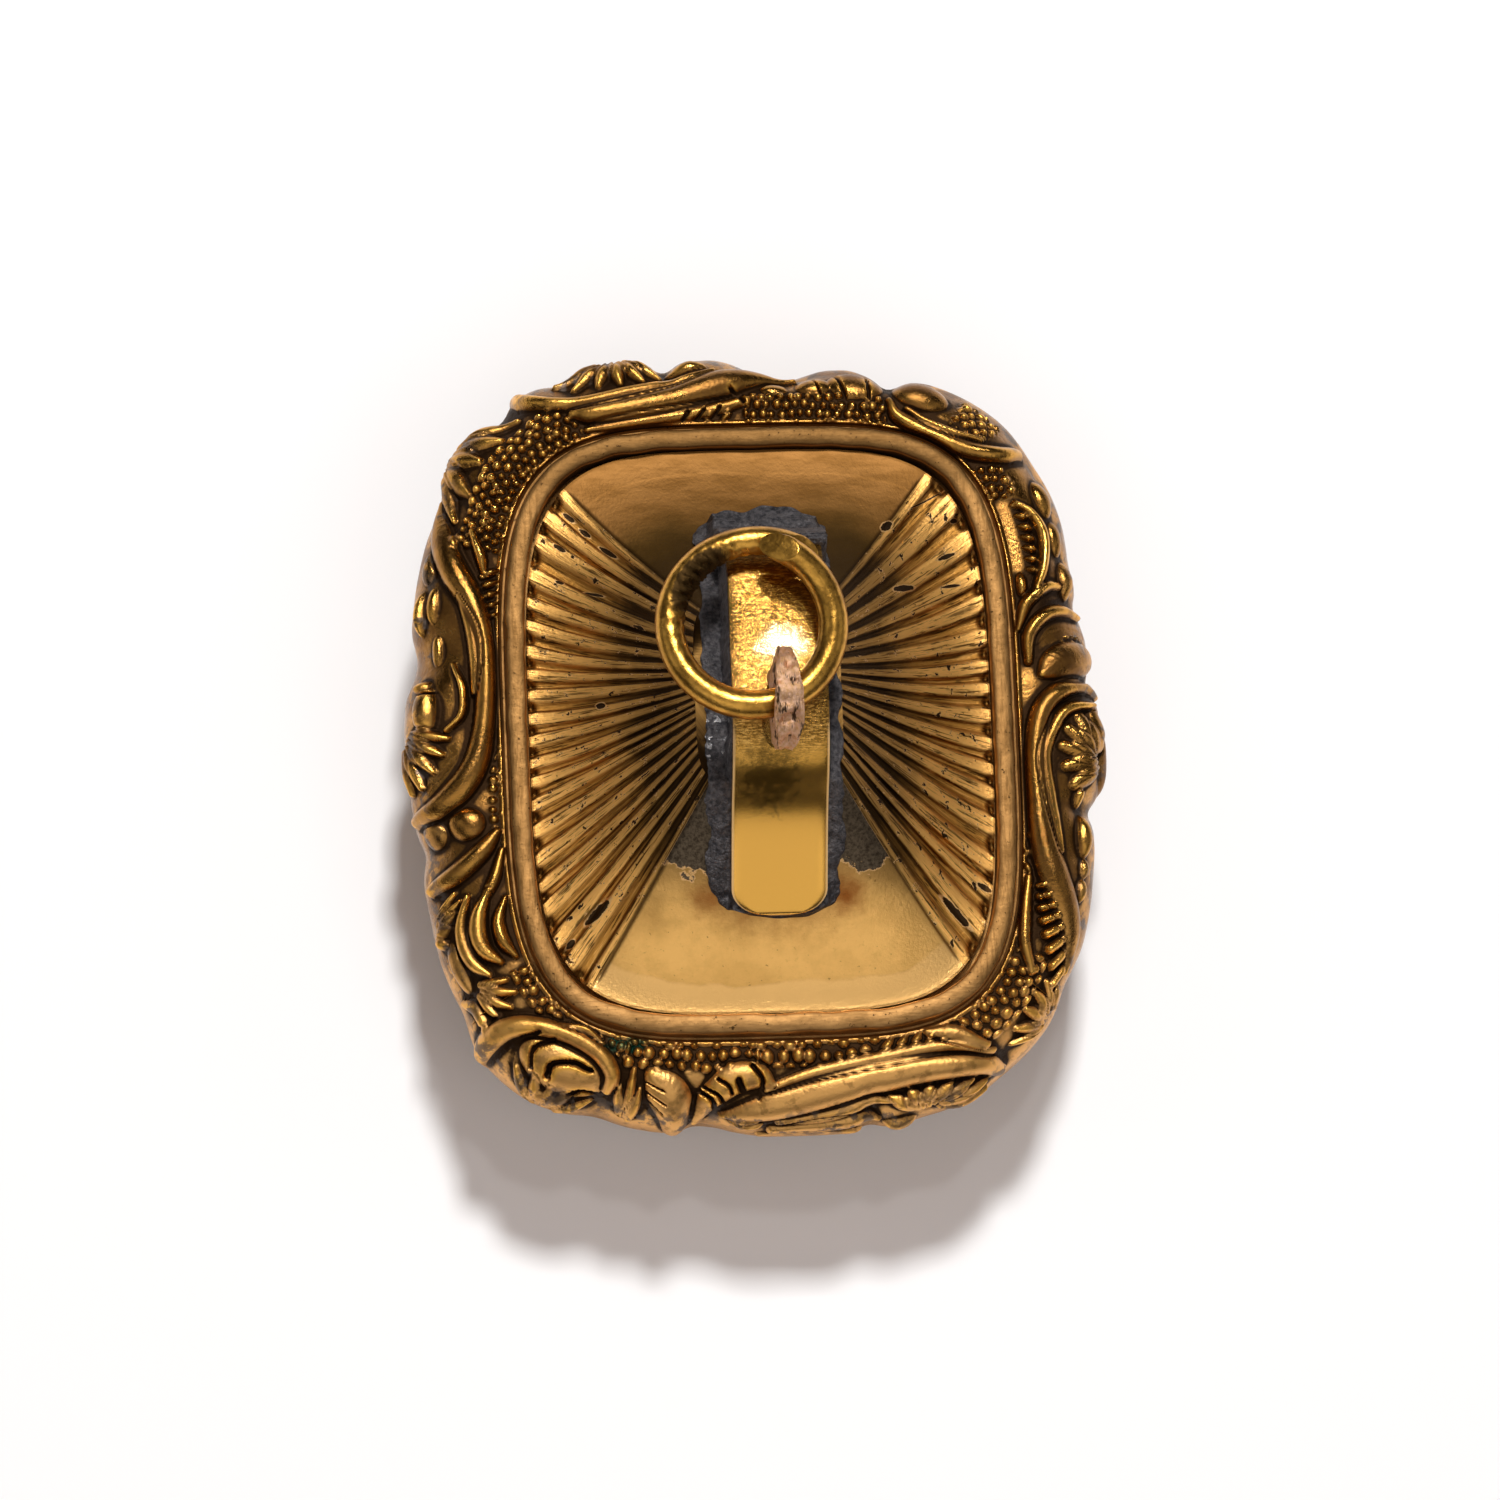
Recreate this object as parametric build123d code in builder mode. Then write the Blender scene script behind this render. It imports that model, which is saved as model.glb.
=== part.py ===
from build123d import *
import os
import numpy as np

# Fob seal, millimetres. The seal's flat face lies at Z = 0, the back of the picture is +Y.
# A cast and chased border holds a stone below and a fluted cap above.
# A soft-soldered strap on the cap carries an eye, and a jump ring hangs in the eye.

os.makedirs("parts", exist_ok=True)

# Cap opening and its raised rim
rim_width = 18.1
rim_length = 22.2
rim_squareness = 4.1
bead_width = 0.74
bead_height = 0.55
bead_corner = 0.15
rim_lip = 0.1

# Relief moulding round the rim: half an ellipse and a bit, leaning over the foot
moulding_out = 2.5
moulding_half_height = 2.3
moulding_set = 0.6
moulding_start = 100.0
moulding_end = -60.0
moulding_wall = 1.3
moulding_above_neck = 2.65

# Hollow inside the moulding, and the ledge that carries the cap
wall_foot_in = 0.1
wall_foot_drop = 1.2
wall_top_rise = 0.4
vault_in = 1.1
vault_drop = 0.85
ledge_in = 0.4
ledge_drop = 0.6

# Foot: neck, collet and stone
neck_set = 0.45
neck_height = 1.0
neck_flare = 0.1
collet_out = 1.15
collet_bead_out = 0.1
collet_above_stone = 0.15
collet_foot_in = 0.3
# Where the collet's bead is widest and where it ends, as shares of the stone's thickness
collet_bead_places = (0.75, 0.45)
stone_thickness = 2.2
stone_set = 0.35
stone_proud = 0.35
stone_bevel = 0.9
stone_bevel_depth = 0.5
stone_sides = 16
stone_gap = 0.12
seat_width = 1.5
seat_gap = 0.05

# Fluted cap
cap_thickness = 0.5
cap_gap = 0.05
cap_rise = 3.9
cap_hollow = 1.5
cap_above_groove = 0.13
stem_width = 5.2
stem_length = 6.6
stem_shift = 0.5
stem_squareness = 6.0
flute_depth = 0.24
right_flutes = 16
left_flutes = 20
right_fan = (-51.7, 55.8)
left_fan = (126.7, 235.6)
panel_columns = 12
flute_columns = 4
# Rings of the cap. Columns: share of the way up to the stem, share of the flutes' depth.
cap_steps = ((1, 0.3), (0.75, 0.5), (0.5, 0.75), (0.25, 0.95), (0.08, 1), (0, 0.15))
# Rings of the cap's plain underside, as shares of the way up
cap_under_steps = (0, 0.35, 0.7, 1)

# Strap, lead solder and eye
strap_width = 3.4
strap_thickness = 0.6
strap_front = 7.15
strap_back = 7.4
strap_corner = 1.3
strap_shift = 0.25
strap_bed = 0.12
# Bends of the strap: the front one as a share of strap_front, the others of the stem's half length
front_bend = 0.73
front_spring = 1.09
back_spring = 1.75
arch_rise = 1.65
solder_width = 4.6
solder_thickness = 0.3
solder_margin = 0.42
solder_shoulder = 0.25
solder_gap = 0.03
# Fill under the arch: how far it reaches into the strap and into the bed, as shares of them
fill_in_strap = 0.25
fill_in_bed = 0.5
eye_radius = 1.85
eye_hole = 1.05
eye_thickness = 0.95
eye_set = -0.6
eye_web = 0.25

# Jump ring
ring_wire = 1.04
ring_radius = 2.88
ring_lift = -0.30
ring_tilt = 3.2
ring_turn = 20.0
ring_start = 34.0
ring_lap_angle = 16.0
# The lapped ends: one drops and stands out, the other rises and is drawn in
ring_drop = 0.12
ring_rise = 1.14
ring_out = 0.5
ring_in = 0.14
ring_knots = 25

# Depth of the chasing, and the stroke width that the tables' shares are of
relief = 1.0
stroke = 1.0

# Where the ornament starts, fades out and swells, in hundredths of the way across the moulding
relief_start = 1.5
relief_fade = (56.0, 70.0)
swell_rise = (12.0, 42.0)
swell_fade = (66.0, 96.0)
swell_lift = 0.22
swell_blur = 0.3

# Facets round the border, on the ornament and on the plain parts
relief_columns = 264
plain_columns = 88

# Roundness of the strokes' sections, the fillet where they meet, and the grooves beside them
boss_fullness = 0.6
leaf_fullness = 0.7
scroll_fullness = 0.65
fillet = 0.04
leaf_moat = 0.08
scroll_moat = 0.12
moat_place = 0.2
moat_width = 0.35

# Where the rows of the relief lie, in hundredths of the way across the moulding
relief_rows = (0, 5, 10, 16, 22, 28, 34, 41, 48, 55, 63, 73, 86, 100)

# How far the ornament's widest part stands out round the border.
# Columns: hundredths of the way round from the front middle, share of the relief.
swell_table = (
    (0, -0.15), (2.5, -0.15), (4, -0.20), (4.7, -0.50), (5.6, -0.25), (7, -0.45), (10, -0.70), (12, -0.65),
    (13.4, -0.80), (15, -0.50), (17, -0.38), (20.3, -0.35), (21, -0.60), (22, -0.10), (24.5, 0.05), (26.5, 0.0),
    (27.3, -0.45), (28.5, -0.30), (29.8, -0.30), (31.4, -0.70), (32.3, -0.50), (33.5, -0.60), (36.2, -0.50),
    (39, -0.50), (42, -0.60), (42.6, -0.80), (43.1, -1.25), (43.8, -0.80), (44.8, -0.55), (46, -0.60),
    (47.2, -0.90), (48.2, -1.10), (49.4, -0.70), (50.5, -0.35), (53, -0.20), (53.9, -0.70), (54.6, -0.30),
    (56, -0.15), (57.1, -0.30), (57.9, -0.60), (58.7, -0.25), (59.6, -0.20), (60.3, -0.75), (61, -0.30),
    (62.5, -0.15), (63.6, -0.55), (65, -0.35), (67, -0.20), (69, -0.10), (70.4, -0.35), (71.3, -0.20),
    (72.4, 0.15), (74, 0.25), (76, 0.15), (78, 0.05), (79.2, -0.10), (80.2, -0.40), (81.5, -0.20),
    (85, -0.35), (87, -0.50), (88.3, -0.10), (90, -0.10), (91.3, -0.30), (92.2, -0.65), (93.3, -0.40),
    (95.5, -0.30), (96.3, -0.70), (97.1, -0.60), (98, -0.35), (99, -0.20),
)

# Scrolls and ribs. Columns: hundredths round, hundredths across, half width and height as shares.
scroll_tables = {
    "front scroll": ((-2.6, 44, 0.16, 0.20), (-1.2, 38, 0.45, 0.36), (0.8, 32, 0.62, 0.46),
                     (3.2, 25, 0.65, 0.52), (6.0, 20, 0.60, 0.54), (8.0, 23, 0.50, 0.52),
                     (9.3, 32, 0.39, 0.46), (9.8, 48, 0.21, 0.25)),
    "front lip": ((-0.4, 25, 0.16, 0.18), (2.0, 17, 0.23, 0.26), (5.0, 12, 0.26, 0.30),
                  (7.4, 11, 0.26, 0.30), (8.9, 16, 0.23, 0.30), (9.8, 28, 0.16, 0.20)),
    "front leaf": ((0.2, 44, 0.18, 0.22), (2.6, 40, 0.31, 0.32), (4.6, 34, 0.29, 0.34), (5.5, 35, 0.13, 0.24)),
    "front low leaf": ((0.0, 52, 0.31, 0.26), (2.2, 48, 0.44, 0.36),
                       (4.2, 45, 0.34, 0.34), (5.0, 50, 0.13, 0.20)),
    "right scroll": ((13.7, 42, 0.18, 0.25), (15.2, 32, 0.55, 0.44), (17.0, 19, 0.62, 0.52),
                     (19.0, 11, 0.52, 0.52), (21.5, 8, 0.39, 0.52), (24.0, 8.5, 0.39, 0.52),
                     (25.8, 13, 0.39, 0.52), (26.8, 23, 0.39, 0.50),
                     (27.2, 38, 0.34, 0.44), (27.0, 56, 0.23, 0.30)),
    "right inner scroll": ((18.6, 20, 0.16, 0.28), (21.0, 15, 0.26, 0.40), (23.2, 12.5, 0.26, 0.42),
                           (24.7, 17, 0.26, 0.42), (25.8, 25, 0.26, 0.40), (26.2, 42, 0.18, 0.30)),
    "back leaf": ((27.6, 14, 0.21, 0.22), (28.2, 24, 0.72, 0.40),
                  (28.5, 38, 0.78, 0.42), (28.7, 55, 0.39, 0.20)),
    "back leaf rib": ((28.2, 7, 0.16, 0.24), (29.6, 8, 0.26, 0.38), (30.6, 17, 0.29, 0.42),
                      (30.9, 30, 0.26, 0.40), (30.8, 46, 0.18, 0.25)),
    "corner scoop": ((31.6, 12, 0.13, 0.24), (32.8, 18, 0.22, 0.44), (34.3, 22, 0.26, 0.50),
                     (35.4, 19, 0.21, 0.42), (36.1, 13, 0.10, 0.24)),
    "corner volute": ((37.9, 34, 0.21, 0.25), (38.2, 18, 0.31, 0.42), (39.2, 7, 0.34, 0.46),
                      (41.0, 3.5, 0.34, 0.48), (42.6, 7, 0.26, 0.42), (43.1, 15, 0.13, 0.25)),
    "back scroll": ((47.5, 33, 0.13, 0.25), (49.2, 30, 0.44, 0.42), (51.2, 23, 0.60, 0.50),
                    (53.4, 15.5, 0.57, 0.54), (55.6, 11.5, 0.49, 0.56), (57.4, 11.5, 0.39, 0.54),
                    (58.3, 15, 0.21, 0.34)),
    "back under scroll": ((51.6, 31, 0.16, 0.26), (53.6, 23.5, 0.26, 0.40), (55.6, 19.5, 0.29, 0.42),
                          (57.4, 19, 0.29, 0.42), (58.8, 25, 0.29, 0.42), (59.5, 38, 0.26, 0.36),
                          (59.6, 54, 0.18, 0.20)),
    "left scroll": ((63.7, 48, 0.16, 0.25), (65.1, 37, 0.49, 0.42), (66.6, 25, 0.55, 0.50),
                    (68.2, 14, 0.47, 0.54), (70.2, 8.2, 0.36, 0.56), (72.4, 7.6, 0.36, 0.56),
                    (74.6, 9.5, 0.39, 0.54), (76.4, 14, 0.47, 0.52), (77.7, 23, 0.52, 0.50),
                    (78.5, 35, 0.47, 0.46), (78.8, 52, 0.31, 0.30)),
    "lower left rib": ((79.9, 5, 0.18, 0.24), (80.9, 14, 0.39, 0.42),
                       (81.8, 28, 0.42, 0.46), (82.2, 46, 0.26, 0.34)),
    "upper lobe": ((83.2, 4, 0.10, 0.20), (84.3, 9.5, 0.23, 0.38),
                   (85.3, 9.5, 0.26, 0.42), (86.1, 6, 0.10, 0.22)),
    "middle lobe": ((82.8, 12, 0.13, 0.22), (84.0, 19, 0.34, 0.46),
                    (85.2, 20.5, 0.36, 0.52), (86.1, 14, 0.13, 0.26)),
    "lower lobe": ((82.9, 23, 0.13, 0.22), (84.3, 29.5, 0.29, 0.40),
                   (85.6, 28.5, 0.31, 0.46), (86.4, 22, 0.13, 0.24)),
    "shell rim": ((88.5, 66, 0.16, 0.20), (88.3, 46, 0.31, 0.40), (88.4, 28, 0.34, 0.46),
                  (89.1, 16, 0.34, 0.50), (90.3, 10.5, 0.34, 0.52), (91.6, 12, 0.34, 0.50),
                  (92.4, 20, 0.31, 0.46), (92.4, 32, 0.18, 0.30)),
    "front blade": ((94.1, 18, 0.29, 0.28), (94.9, 28, 0.78, 0.42),
                    (95.3, 42, 0.65, 0.44), (95.2, 62, 0.26, 0.20)),
    "front curl": ((96.2, 50, 0.26, 0.30), (96.8, 32, 0.52, 0.40), (97.9, 20, 0.60, 0.42),
                   (99.2, 18, 0.44, 0.36), (99.9, 22, 0.16, 0.20)),
}

# Round lumps. Columns: hundredths round, hundredths across, half sizes both ways, height as a share.
boss_table = (
    (6.9, 40, 0.95, 6, 0.44), (5.9, 55, 0.7, 5, 0.34), (17.5, 37.5, 1.0, 4, 0.27), (19.5, 36.5, 1.1, 5.5, 0.42),
    (23.2, 36, 0.8, 8, 0.46), (23.6, 62, 1.7, 14, 0.36), (32.4, 37, 0.95, 6.5, 0.36), (34.3, 34, 0.8, 6, 0.30),
    (36.0, 32, 0.8, 7, 0.36), (41.9, 24, 1.15, 11, 0.44), (44.7, 24, 1.35, 11, 0.34), (46.6, 22, 0.9, 7, 0.30),
    (52.9, 34, 1.1, 5, 0.42), (68.3, 40, 1.0, 7, 0.30), (73.5, 37, 1.35, 6.5, 0.52), (79.5, 26, 0.8, 14, 0.36),
    (85.6, 40, 1.1, 6, 0.30), (90.8, 27, 1.75, 15, 0.42), (98.6, 46, 0.9, 6, 0.34),
)

# Leaf fans. Columns: root round, root across, half width and height shares, tips (round, across).
fan_tables = {
    "front acanthus": (7.0, 46, 0.35, 0.44, ((5.4, 31), (7.2, 28), (8.9, 35), (9.1, 51))),
    "corner leaf": (12.0, 46, 0.27, 0.36, ((10.5, 34), (11.6, 23), (12.9, 27))),
    "right acanthus": (23.4, 46, 0.34, 0.44, ((22.0, 30), (23.9, 23), (25.5, 32))),
    "back acanthus": (56.2, 48, 0.32, 0.42, ((54.2, 30), (56.0, 26.5), (57.8, 34))),
    "left acanthus": (74.4, 54, 0.34, 0.44, ((75.0, 27), (76.6, 35), (77.4, 52))),
    "tuft": (62.4, 56, 0.35, 0.36, ((60.1, 32), (62.0, 29), (64.4, 31))),
    "grain leaf": (84.3, 52, 0.27, 0.36, ((82.6, 30), (83.5, 31), (84.6, 42))),
}

# One leaf of a fan. Columns: shares of the way from root to tip, of the half width, of the height.
leaf_table = ((0.3, 0.8, 0.8), (0.6, 1, 1), (1, 0.38, 0.55))

# Levels that follow from the sizes
neck_level = stone_thickness + seat_gap + neck_height
moulding_level = neck_level + moulding_above_neck
groove_level = moulding_level + moulding_half_height * np.sin(np.radians(moulding_start))
cap_level = groove_level + cap_above_groove
cap_set = bead_width + cap_gap
stem_level = cap_level + cap_rise


def outline(half_x, half_y, squareness, angle):
    """Point of a cushion-shaped outline in the direction of an angle in degrees."""
    c, s = np.cos(np.radians(angle)), np.sin(np.radians(angle))
    reach = (abs(c / half_x) ** squareness + abs(s / half_y) ** squareness) ** (-1 / squareness)
    return np.array([reach * c, reach * s])


def rim_stations(count):
    """Points and outward directions at equal steps along the rim, from the front middle to the right."""
    fine = [outline(rim_width / 2, rim_length / 2, rim_squareness, -90 + 360 * i / 4000) for i in range(4001)]
    fine = np.array(fine)
    length = np.concatenate([[0], np.cumsum(np.hypot(*np.diff(fine, axis=0).T))])
    steps = np.linspace(0, length[-1], count, endpoint=False)
    points = np.stack([np.interp(steps, length, fine[:, k]) for k in (0, 1)], 1)
    half = np.array([rim_width / 2, rim_length / 2])
    normals = np.sign(points) * np.abs(points / half) ** (rim_squareness - 1) / half
    normals /= np.linalg.norm(normals, axis=1)[:, None]
    return points, normals, length[-1]


def beside_rim(out, angle):
    """Point at a distance outside the rim's outline, in the direction of an angle."""
    point = outline(rim_width / 2, rim_length / 2, rim_squareness, angle)
    half = np.array([rim_width / 2, rim_length / 2])
    normal = np.sign(point) * np.abs(point / half) ** (rim_squareness - 1) / half
    return tuple(point + normal / np.linalg.norm(normal) * out)


def cushion_angles(sides):
    """Directions of a cushion's corners, closer together where its outline bends."""
    turns = np.radians(360 * (np.arange(sides) + 0.5) / sides)
    x = np.sign(np.cos(turns)) * np.abs(np.cos(turns)) ** (2 / rim_squareness) * rim_width
    y = np.sign(np.sin(turns)) * np.abs(np.sin(turns)) ** (2 / rim_squareness) * rim_length
    return np.degrees(np.arctan2(y, x))


rim_around = rim_stations(plain_columns)[2]
round_step = (rim_around + 2 * np.pi * (moulding_set + moulding_out / 3)) / 100
across_step = np.radians(moulding_start - moulding_end) * (moulding_out + moulding_half_height) / 2 / 100


def wrapped(difference):
    """Distance round the border in hundredths, the short way."""
    return (difference + 50) % 100 - 50


def smooth_chain(rows, steps):
    """Catmull-Rom curve through table rows, with all their columns."""
    p = np.array(rows, float)
    p = np.vstack([2 * p[0] - p[1], p, 2 * p[-1] - p[-2]])
    u = np.arange(steps)[:, None] / steps
    spans = []
    for a, b, c, d in zip(p[:-3], p[1:-2], p[2:-1], p[3:]):
        bend = (2 * a - 5 * b + 4 * c - d) * u**2 + (3 * b - a - 3 * c + d) * u**3
        spans.append(0.5 * (2 * b + (c - a) * u + bend))
    return np.vstack(spans + [p[-2]])


def blended(low, high):
    """The larger of two heights, with a small fillet where they meet."""
    share = np.clip(0.5 + 0.5 * (low - high) / fillet, 0, 1)
    return high + (low - high) * share + fillet * share * (1 - share)


def raise_stroke(height, around, across, chain, fullness, moat):
    """Lay a tapering rounded stroke on the height field."""
    inside = np.full(height.shape, -9.0)
    crest = np.zeros(height.shape)
    for a, b in zip(chain[:-1], chain[1:]):
        x = wrapped(around - a[0]) * round_step
        y = (across - a[1]) * across_step
        dx, dy = (b[0] - a[0]) * round_step, (b[1] - a[1]) * across_step
        share = np.clip((x * dx + y * dy) / (dx * dx + dy * dy), 0, 1)
        half = (a[2] + (b[2] - a[2]) * share) * stroke
        field = 1 - ((x - share * dx) ** 2 + (y - share * dy) ** 2) / half**2
        nearer = field > inside
        inside = np.where(nearer, field, inside)
        crest = np.where(nearer, (a[3] + (b[3] - a[3]) * share) * relief, crest)
    height = height - moat * relief * np.clip(1 - np.abs(inside + moat_place) / moat_width, 0, 1)
    return blended(height, np.clip(inside, 0, 1) ** fullness * crest)


def swell(around, across):
    """Outward swell of the moulding's widest part."""
    table = np.array(swell_table)
    rounds = np.concatenate([table[-2:, 0] - 100, table[:, 0], table[:2, 0] + 100])
    shares = np.concatenate([table[-2:, 1], table[:, 1], table[:2, 1]])
    level = sum(np.interp(around + k, rounds, shares) for k in (-swell_blur, 0, swell_blur)) / 3
    rise = np.clip((across - swell_rise[0]) / (swell_rise[1] - swell_rise[0]), 0, 1)
    fall = np.clip((swell_fade[1] - across) / (swell_fade[1] - swell_fade[0]), 0, 1)
    return (level + swell_lift) * relief * rise**2 * (3 - 2 * rise) * fall**2 * (3 - 2 * fall)


def relief_height(around, across):
    """Height of the chased ornament over the plain moulding, in millimetres."""
    height = np.zeros(around.shape)
    for s, t, half_s, half_t, share in boss_table:
        field = 1 - (wrapped(around - s) / half_s) ** 2 - ((across - t) / half_t) ** 2
        height = blended(height, np.clip(field, 0, 1) ** boss_fullness * share * relief)
    for s, t, half, share, tips in fan_tables.values():
        for tip_s, tip_t in tips:
            rows = [(s + way * (tip_s - s), t + way * (tip_t - t), wide * half, high * share)
                    for way, wide, high in leaf_table]
            height = raise_stroke(height, around, across, smooth_chain(rows, 2), leaf_fullness, leaf_moat)
    for rows in scroll_tables.values():
        height = raise_stroke(height, around, across, smooth_chain(rows, 3), scroll_fullness, scroll_moat)
    fade = np.clip((relief_fade[1] - across) / (relief_fade[1] - relief_fade[0]), 0, 1)
    start = np.clip((across + relief_start) / (2 * relief_start), 0, 1)
    return height * fade * start + swell(around, across)


def facets(rings):
    """Solid from closed rings of points, each joined to the next and the last to the first.

    A ring may have a whole multiple of its neighbour's points, and a ring of one point closes a fan.
    """
    triangles = []
    for lower, upper in zip(rings, rings[1:] + rings[:1]):
        if len(lower) == len(upper) == 1:
            continue
        count = max(len(lower), len(upper))
        down, up = count // len(lower), count // len(upper)
        for i in range(count):
            j = (i + 1) % count
            a, b = lower[i // down], lower[(j // down) % len(lower)]
            c, d = upper[i // up], upper[(j // up) % len(upper)]
            if a is not b and down <= up:
                triangles.append((a, b, c))
            if c is not d and down <= up:
                triangles.append((b, d, c))
            if c is not d and down > up:
                triangles.append((a, d, c))
            if a is not b and down > up:
                triangles.append((a, b, d))
    faces = [Face(Wire.make_polygon([tuple(p) for p in corners], close=True)) for corners in triangles]
    return Solid(Shell(faces))


def ring_of(points, normals, out, level):
    """Closed ring of points at a distance outside the rim's outline."""
    spots = points + normals * np.asarray(out)[..., None] * np.ones((len(points), 1))
    return [np.array([x, y, z]) for (x, y), z in zip(spots, np.broadcast_to(level, len(points)))]


def border_rings():
    """Rings of the border's section, over the relief, under the foot and back up inside."""
    points, normals, _ = rim_stations(relief_columns)
    around = np.arange(relief_columns) * 100 / relief_columns
    rings = []
    for across in relief_rows:
        lift = relief_height(around, np.full(relief_columns, float(across)))
        angle = np.radians(moulding_start + (moulding_end - moulding_start) * across / 100)
        out = moulding_set + (moulding_out + lift) * np.cos(angle)
        level = moulding_level + (moulding_half_height + lift) * np.sin(angle)
        rings.append(ring_of(points, normals, out, level))
    points, normals, _ = rim_stations(plain_columns)
    inner_out = moulding_set + moulding_out - moulding_wall
    collet_top = stone_thickness + collet_above_stone
    bead_top, bead_foot = collet_bead_places
    ledge_level = cap_level - cap_thickness - cap_gap
    shoulder_level = groove_level + (1 - bead_corner) * bead_height
    seat_level = stone_thickness + seat_gap
    stone_wall = stone_set + stone_gap
    section = (
        (neck_set, neck_level), (neck_set + neck_flare, (neck_level + collet_top) / 2 + neck_flare),
        (collet_out, collet_top), (collet_out + collet_bead_out, bead_top * stone_thickness),
        (collet_out, bead_foot * stone_thickness), (collet_out - collet_foot_in, stone_proud),
        (stone_wall, stone_proud), (stone_wall, seat_level), (stone_wall - seat_width, seat_level),
        (stone_wall - seat_width, neck_level), (inner_out - wall_foot_in, moulding_level - wall_foot_drop),
        (inner_out, moulding_level + wall_top_rise), (inner_out - vault_in, groove_level - vault_drop),
        (-cap_set - ledge_in, groove_level - ledge_drop), (-cap_set - ledge_in, ledge_level),
        (-bead_width, ledge_level), (-bead_width, cap_level + rim_lip),
        (-(1 - bead_corner) * bead_width, shoulder_level), (-0.5 * bead_width, groove_level + bead_height),
        (-bead_corner * bead_width, shoulder_level), (0, groove_level + rim_lip),
    )
    rings += [ring_of(points, normals, out, level) for out, level in section]
    return rings


def cap_angles():
    """Directions of the cap's columns, four to a flute and a few on each plain panel."""
    angles = []
    spans = ((left_fan[1] - 360, right_fan[0], panel_columns), (*right_fan, right_flutes * flute_columns),
             (right_fan[1], left_fan[0], panel_columns), (*left_fan, left_flutes * flute_columns))
    for first, last, count in spans:
        angles += [first + (last - first) * i / count for i in range(count)]
    return angles


def flute(angle):
    """Share of the flute's depth in a direction: 0 on a ridge or a plain panel, 1 in mid flute."""
    turned = (angle - left_fan[1] + 360) % 360 + left_fan[1] - 360
    for (first, last), count in ((right_fan, right_flutes), (left_fan, left_flutes)):
        if first <= turned <= last:
            return np.sin(np.pi * (((turned - first) / (last - first) * count) % 1))
    return 0.0


def cap_level_at(share):
    """Level of the cap's plain surface, 0 at its edge and 1 at the stem."""
    return cap_level + cap_rise * share**cap_hollow


def cap_point(angle, share):
    """Plain point of the cap between its edge and the stem."""
    edge = outline(rim_width / 2 - cap_set, rim_length / 2 - cap_set, rim_squareness, angle)
    stem = outline(stem_width / 2, stem_length / 2, stem_squareness, angle) + (0, stem_shift)
    return edge + (stem - edge) * share


def cap_rings():
    """Rings of the cap from the middle of its top, down the flutes, and back under."""
    angles = cap_angles()
    rings = [[np.array([0, stem_shift, stem_level])]]
    for share, depth in cap_steps:
        ring = []
        for angle in angles:
            level = cap_level_at(share) - flute_depth * depth * flute(angle)
            ring.append(np.array([*cap_point(angle, share), level]))
        rings.append(ring)
    for share in cap_under_steps:
        level = cap_level_at(share) - cap_thickness
        rings.append([np.array([*cap_point(angle, share), level]) for angle in angles[::flute_columns]])
    rings.append([np.array([0, stem_shift, stem_level - cap_thickness])])
    return rings


def cap_profile(y):
    """Level of the cap's facets on its middle line, at a distance to the front or the back."""
    edge = rim_length / 2 - cap_set
    stem = stem_length / 2 + np.copysign(stem_shift, y)
    shares = np.array([share for share, _ in reversed(cap_steps)])
    return float(np.interp((edge - abs(y)) / (edge - stem), shares, cap_level_at(shares)))


def cap_line(front, back, rise):
    """Points of the cap's middle line between two places, raised, with its corners at the stem."""
    corners = (stem_shift - stem_length / 2, stem_shift + stem_length / 2)
    places = [*np.linspace(front, corners[0], 4), *np.linspace(corners[1], back, 4)]
    return [(y, cap_profile(y) + rise) for y in places]


# Border with its relief, neck and collet
with BuildPart() as border:
    add(facets(border_rings()))

# Fluted cap that sits in the rim on a ledge of the border
with BuildPart() as top_plate:
    add(facets(cap_rings()))

# Seal stone, a cushion tablet with a plain table and bevelled facets
with BuildPart() as seal_stone:
    stone_angles = cushion_angles(stone_sides)
    girdle_corners = [beside_rim(stone_set, angle) for angle in stone_angles]
    table_corners = [beside_rim(stone_set - stone_bevel, angle) for angle in stone_angles]
    with BuildSketch(Plane.XY):
        with BuildLine():
            Polyline(*table_corners, close=True)
        make_face()
    with BuildSketch(Plane.XY.offset(stone_bevel_depth)):
        with BuildLine():
            Polyline(*girdle_corners, close=True)
        make_face()
    loft(ruled=True)
    with BuildSketch(Plane.XY.offset(stone_bevel_depth)):
        with BuildLine():
            Polyline(*girdle_corners, close=True)
        make_face()
    extrude(amount=stone_thickness - stone_bevel_depth)

# Arch of the strap over the stem. Columns: place as a share of the stem's half length
# from its middle, height as a share of the arch's rise.
arch_table = ((-0.82, 0.50), (-0.42, 0.92), (0.35, 1.0), (1.14, 0.96), (1.45, 0.55))

# Route of the strap's underside, over the cap's middle from front to back
strap_low = solder_gap + strap_bed
arch_level = stem_level + arch_rise
front_foot = (-strap_front, -front_bend * strap_front, stem_shift - front_spring * stem_length / 2)
back_foot = (stem_shift + back_spring * stem_length / 2, strap_back)
arch_route = (
    [(y, cap_profile(y) + strap_low) for y in front_foot]
    + [(stem_shift + place * stem_length / 2, stem_level + share * arch_rise) for place, share in arch_table]
    + [(y, cap_profile(y) + strap_low) for y in back_foot]
)
eye_level = arch_level + strap_thickness + eye_web + eye_hole


def lifted_route(rise):
    """Strap route raised square to itself, as points of the YZ plane."""
    route = np.array(arch_route)
    ahead = np.gradient(route, axis=0)
    square = np.stack([-ahead[:, 1], ahead[:, 0]], 1)
    return [tuple(p) for p in route + square / np.linalg.norm(square, axis=1)[:, None] * rise]


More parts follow.
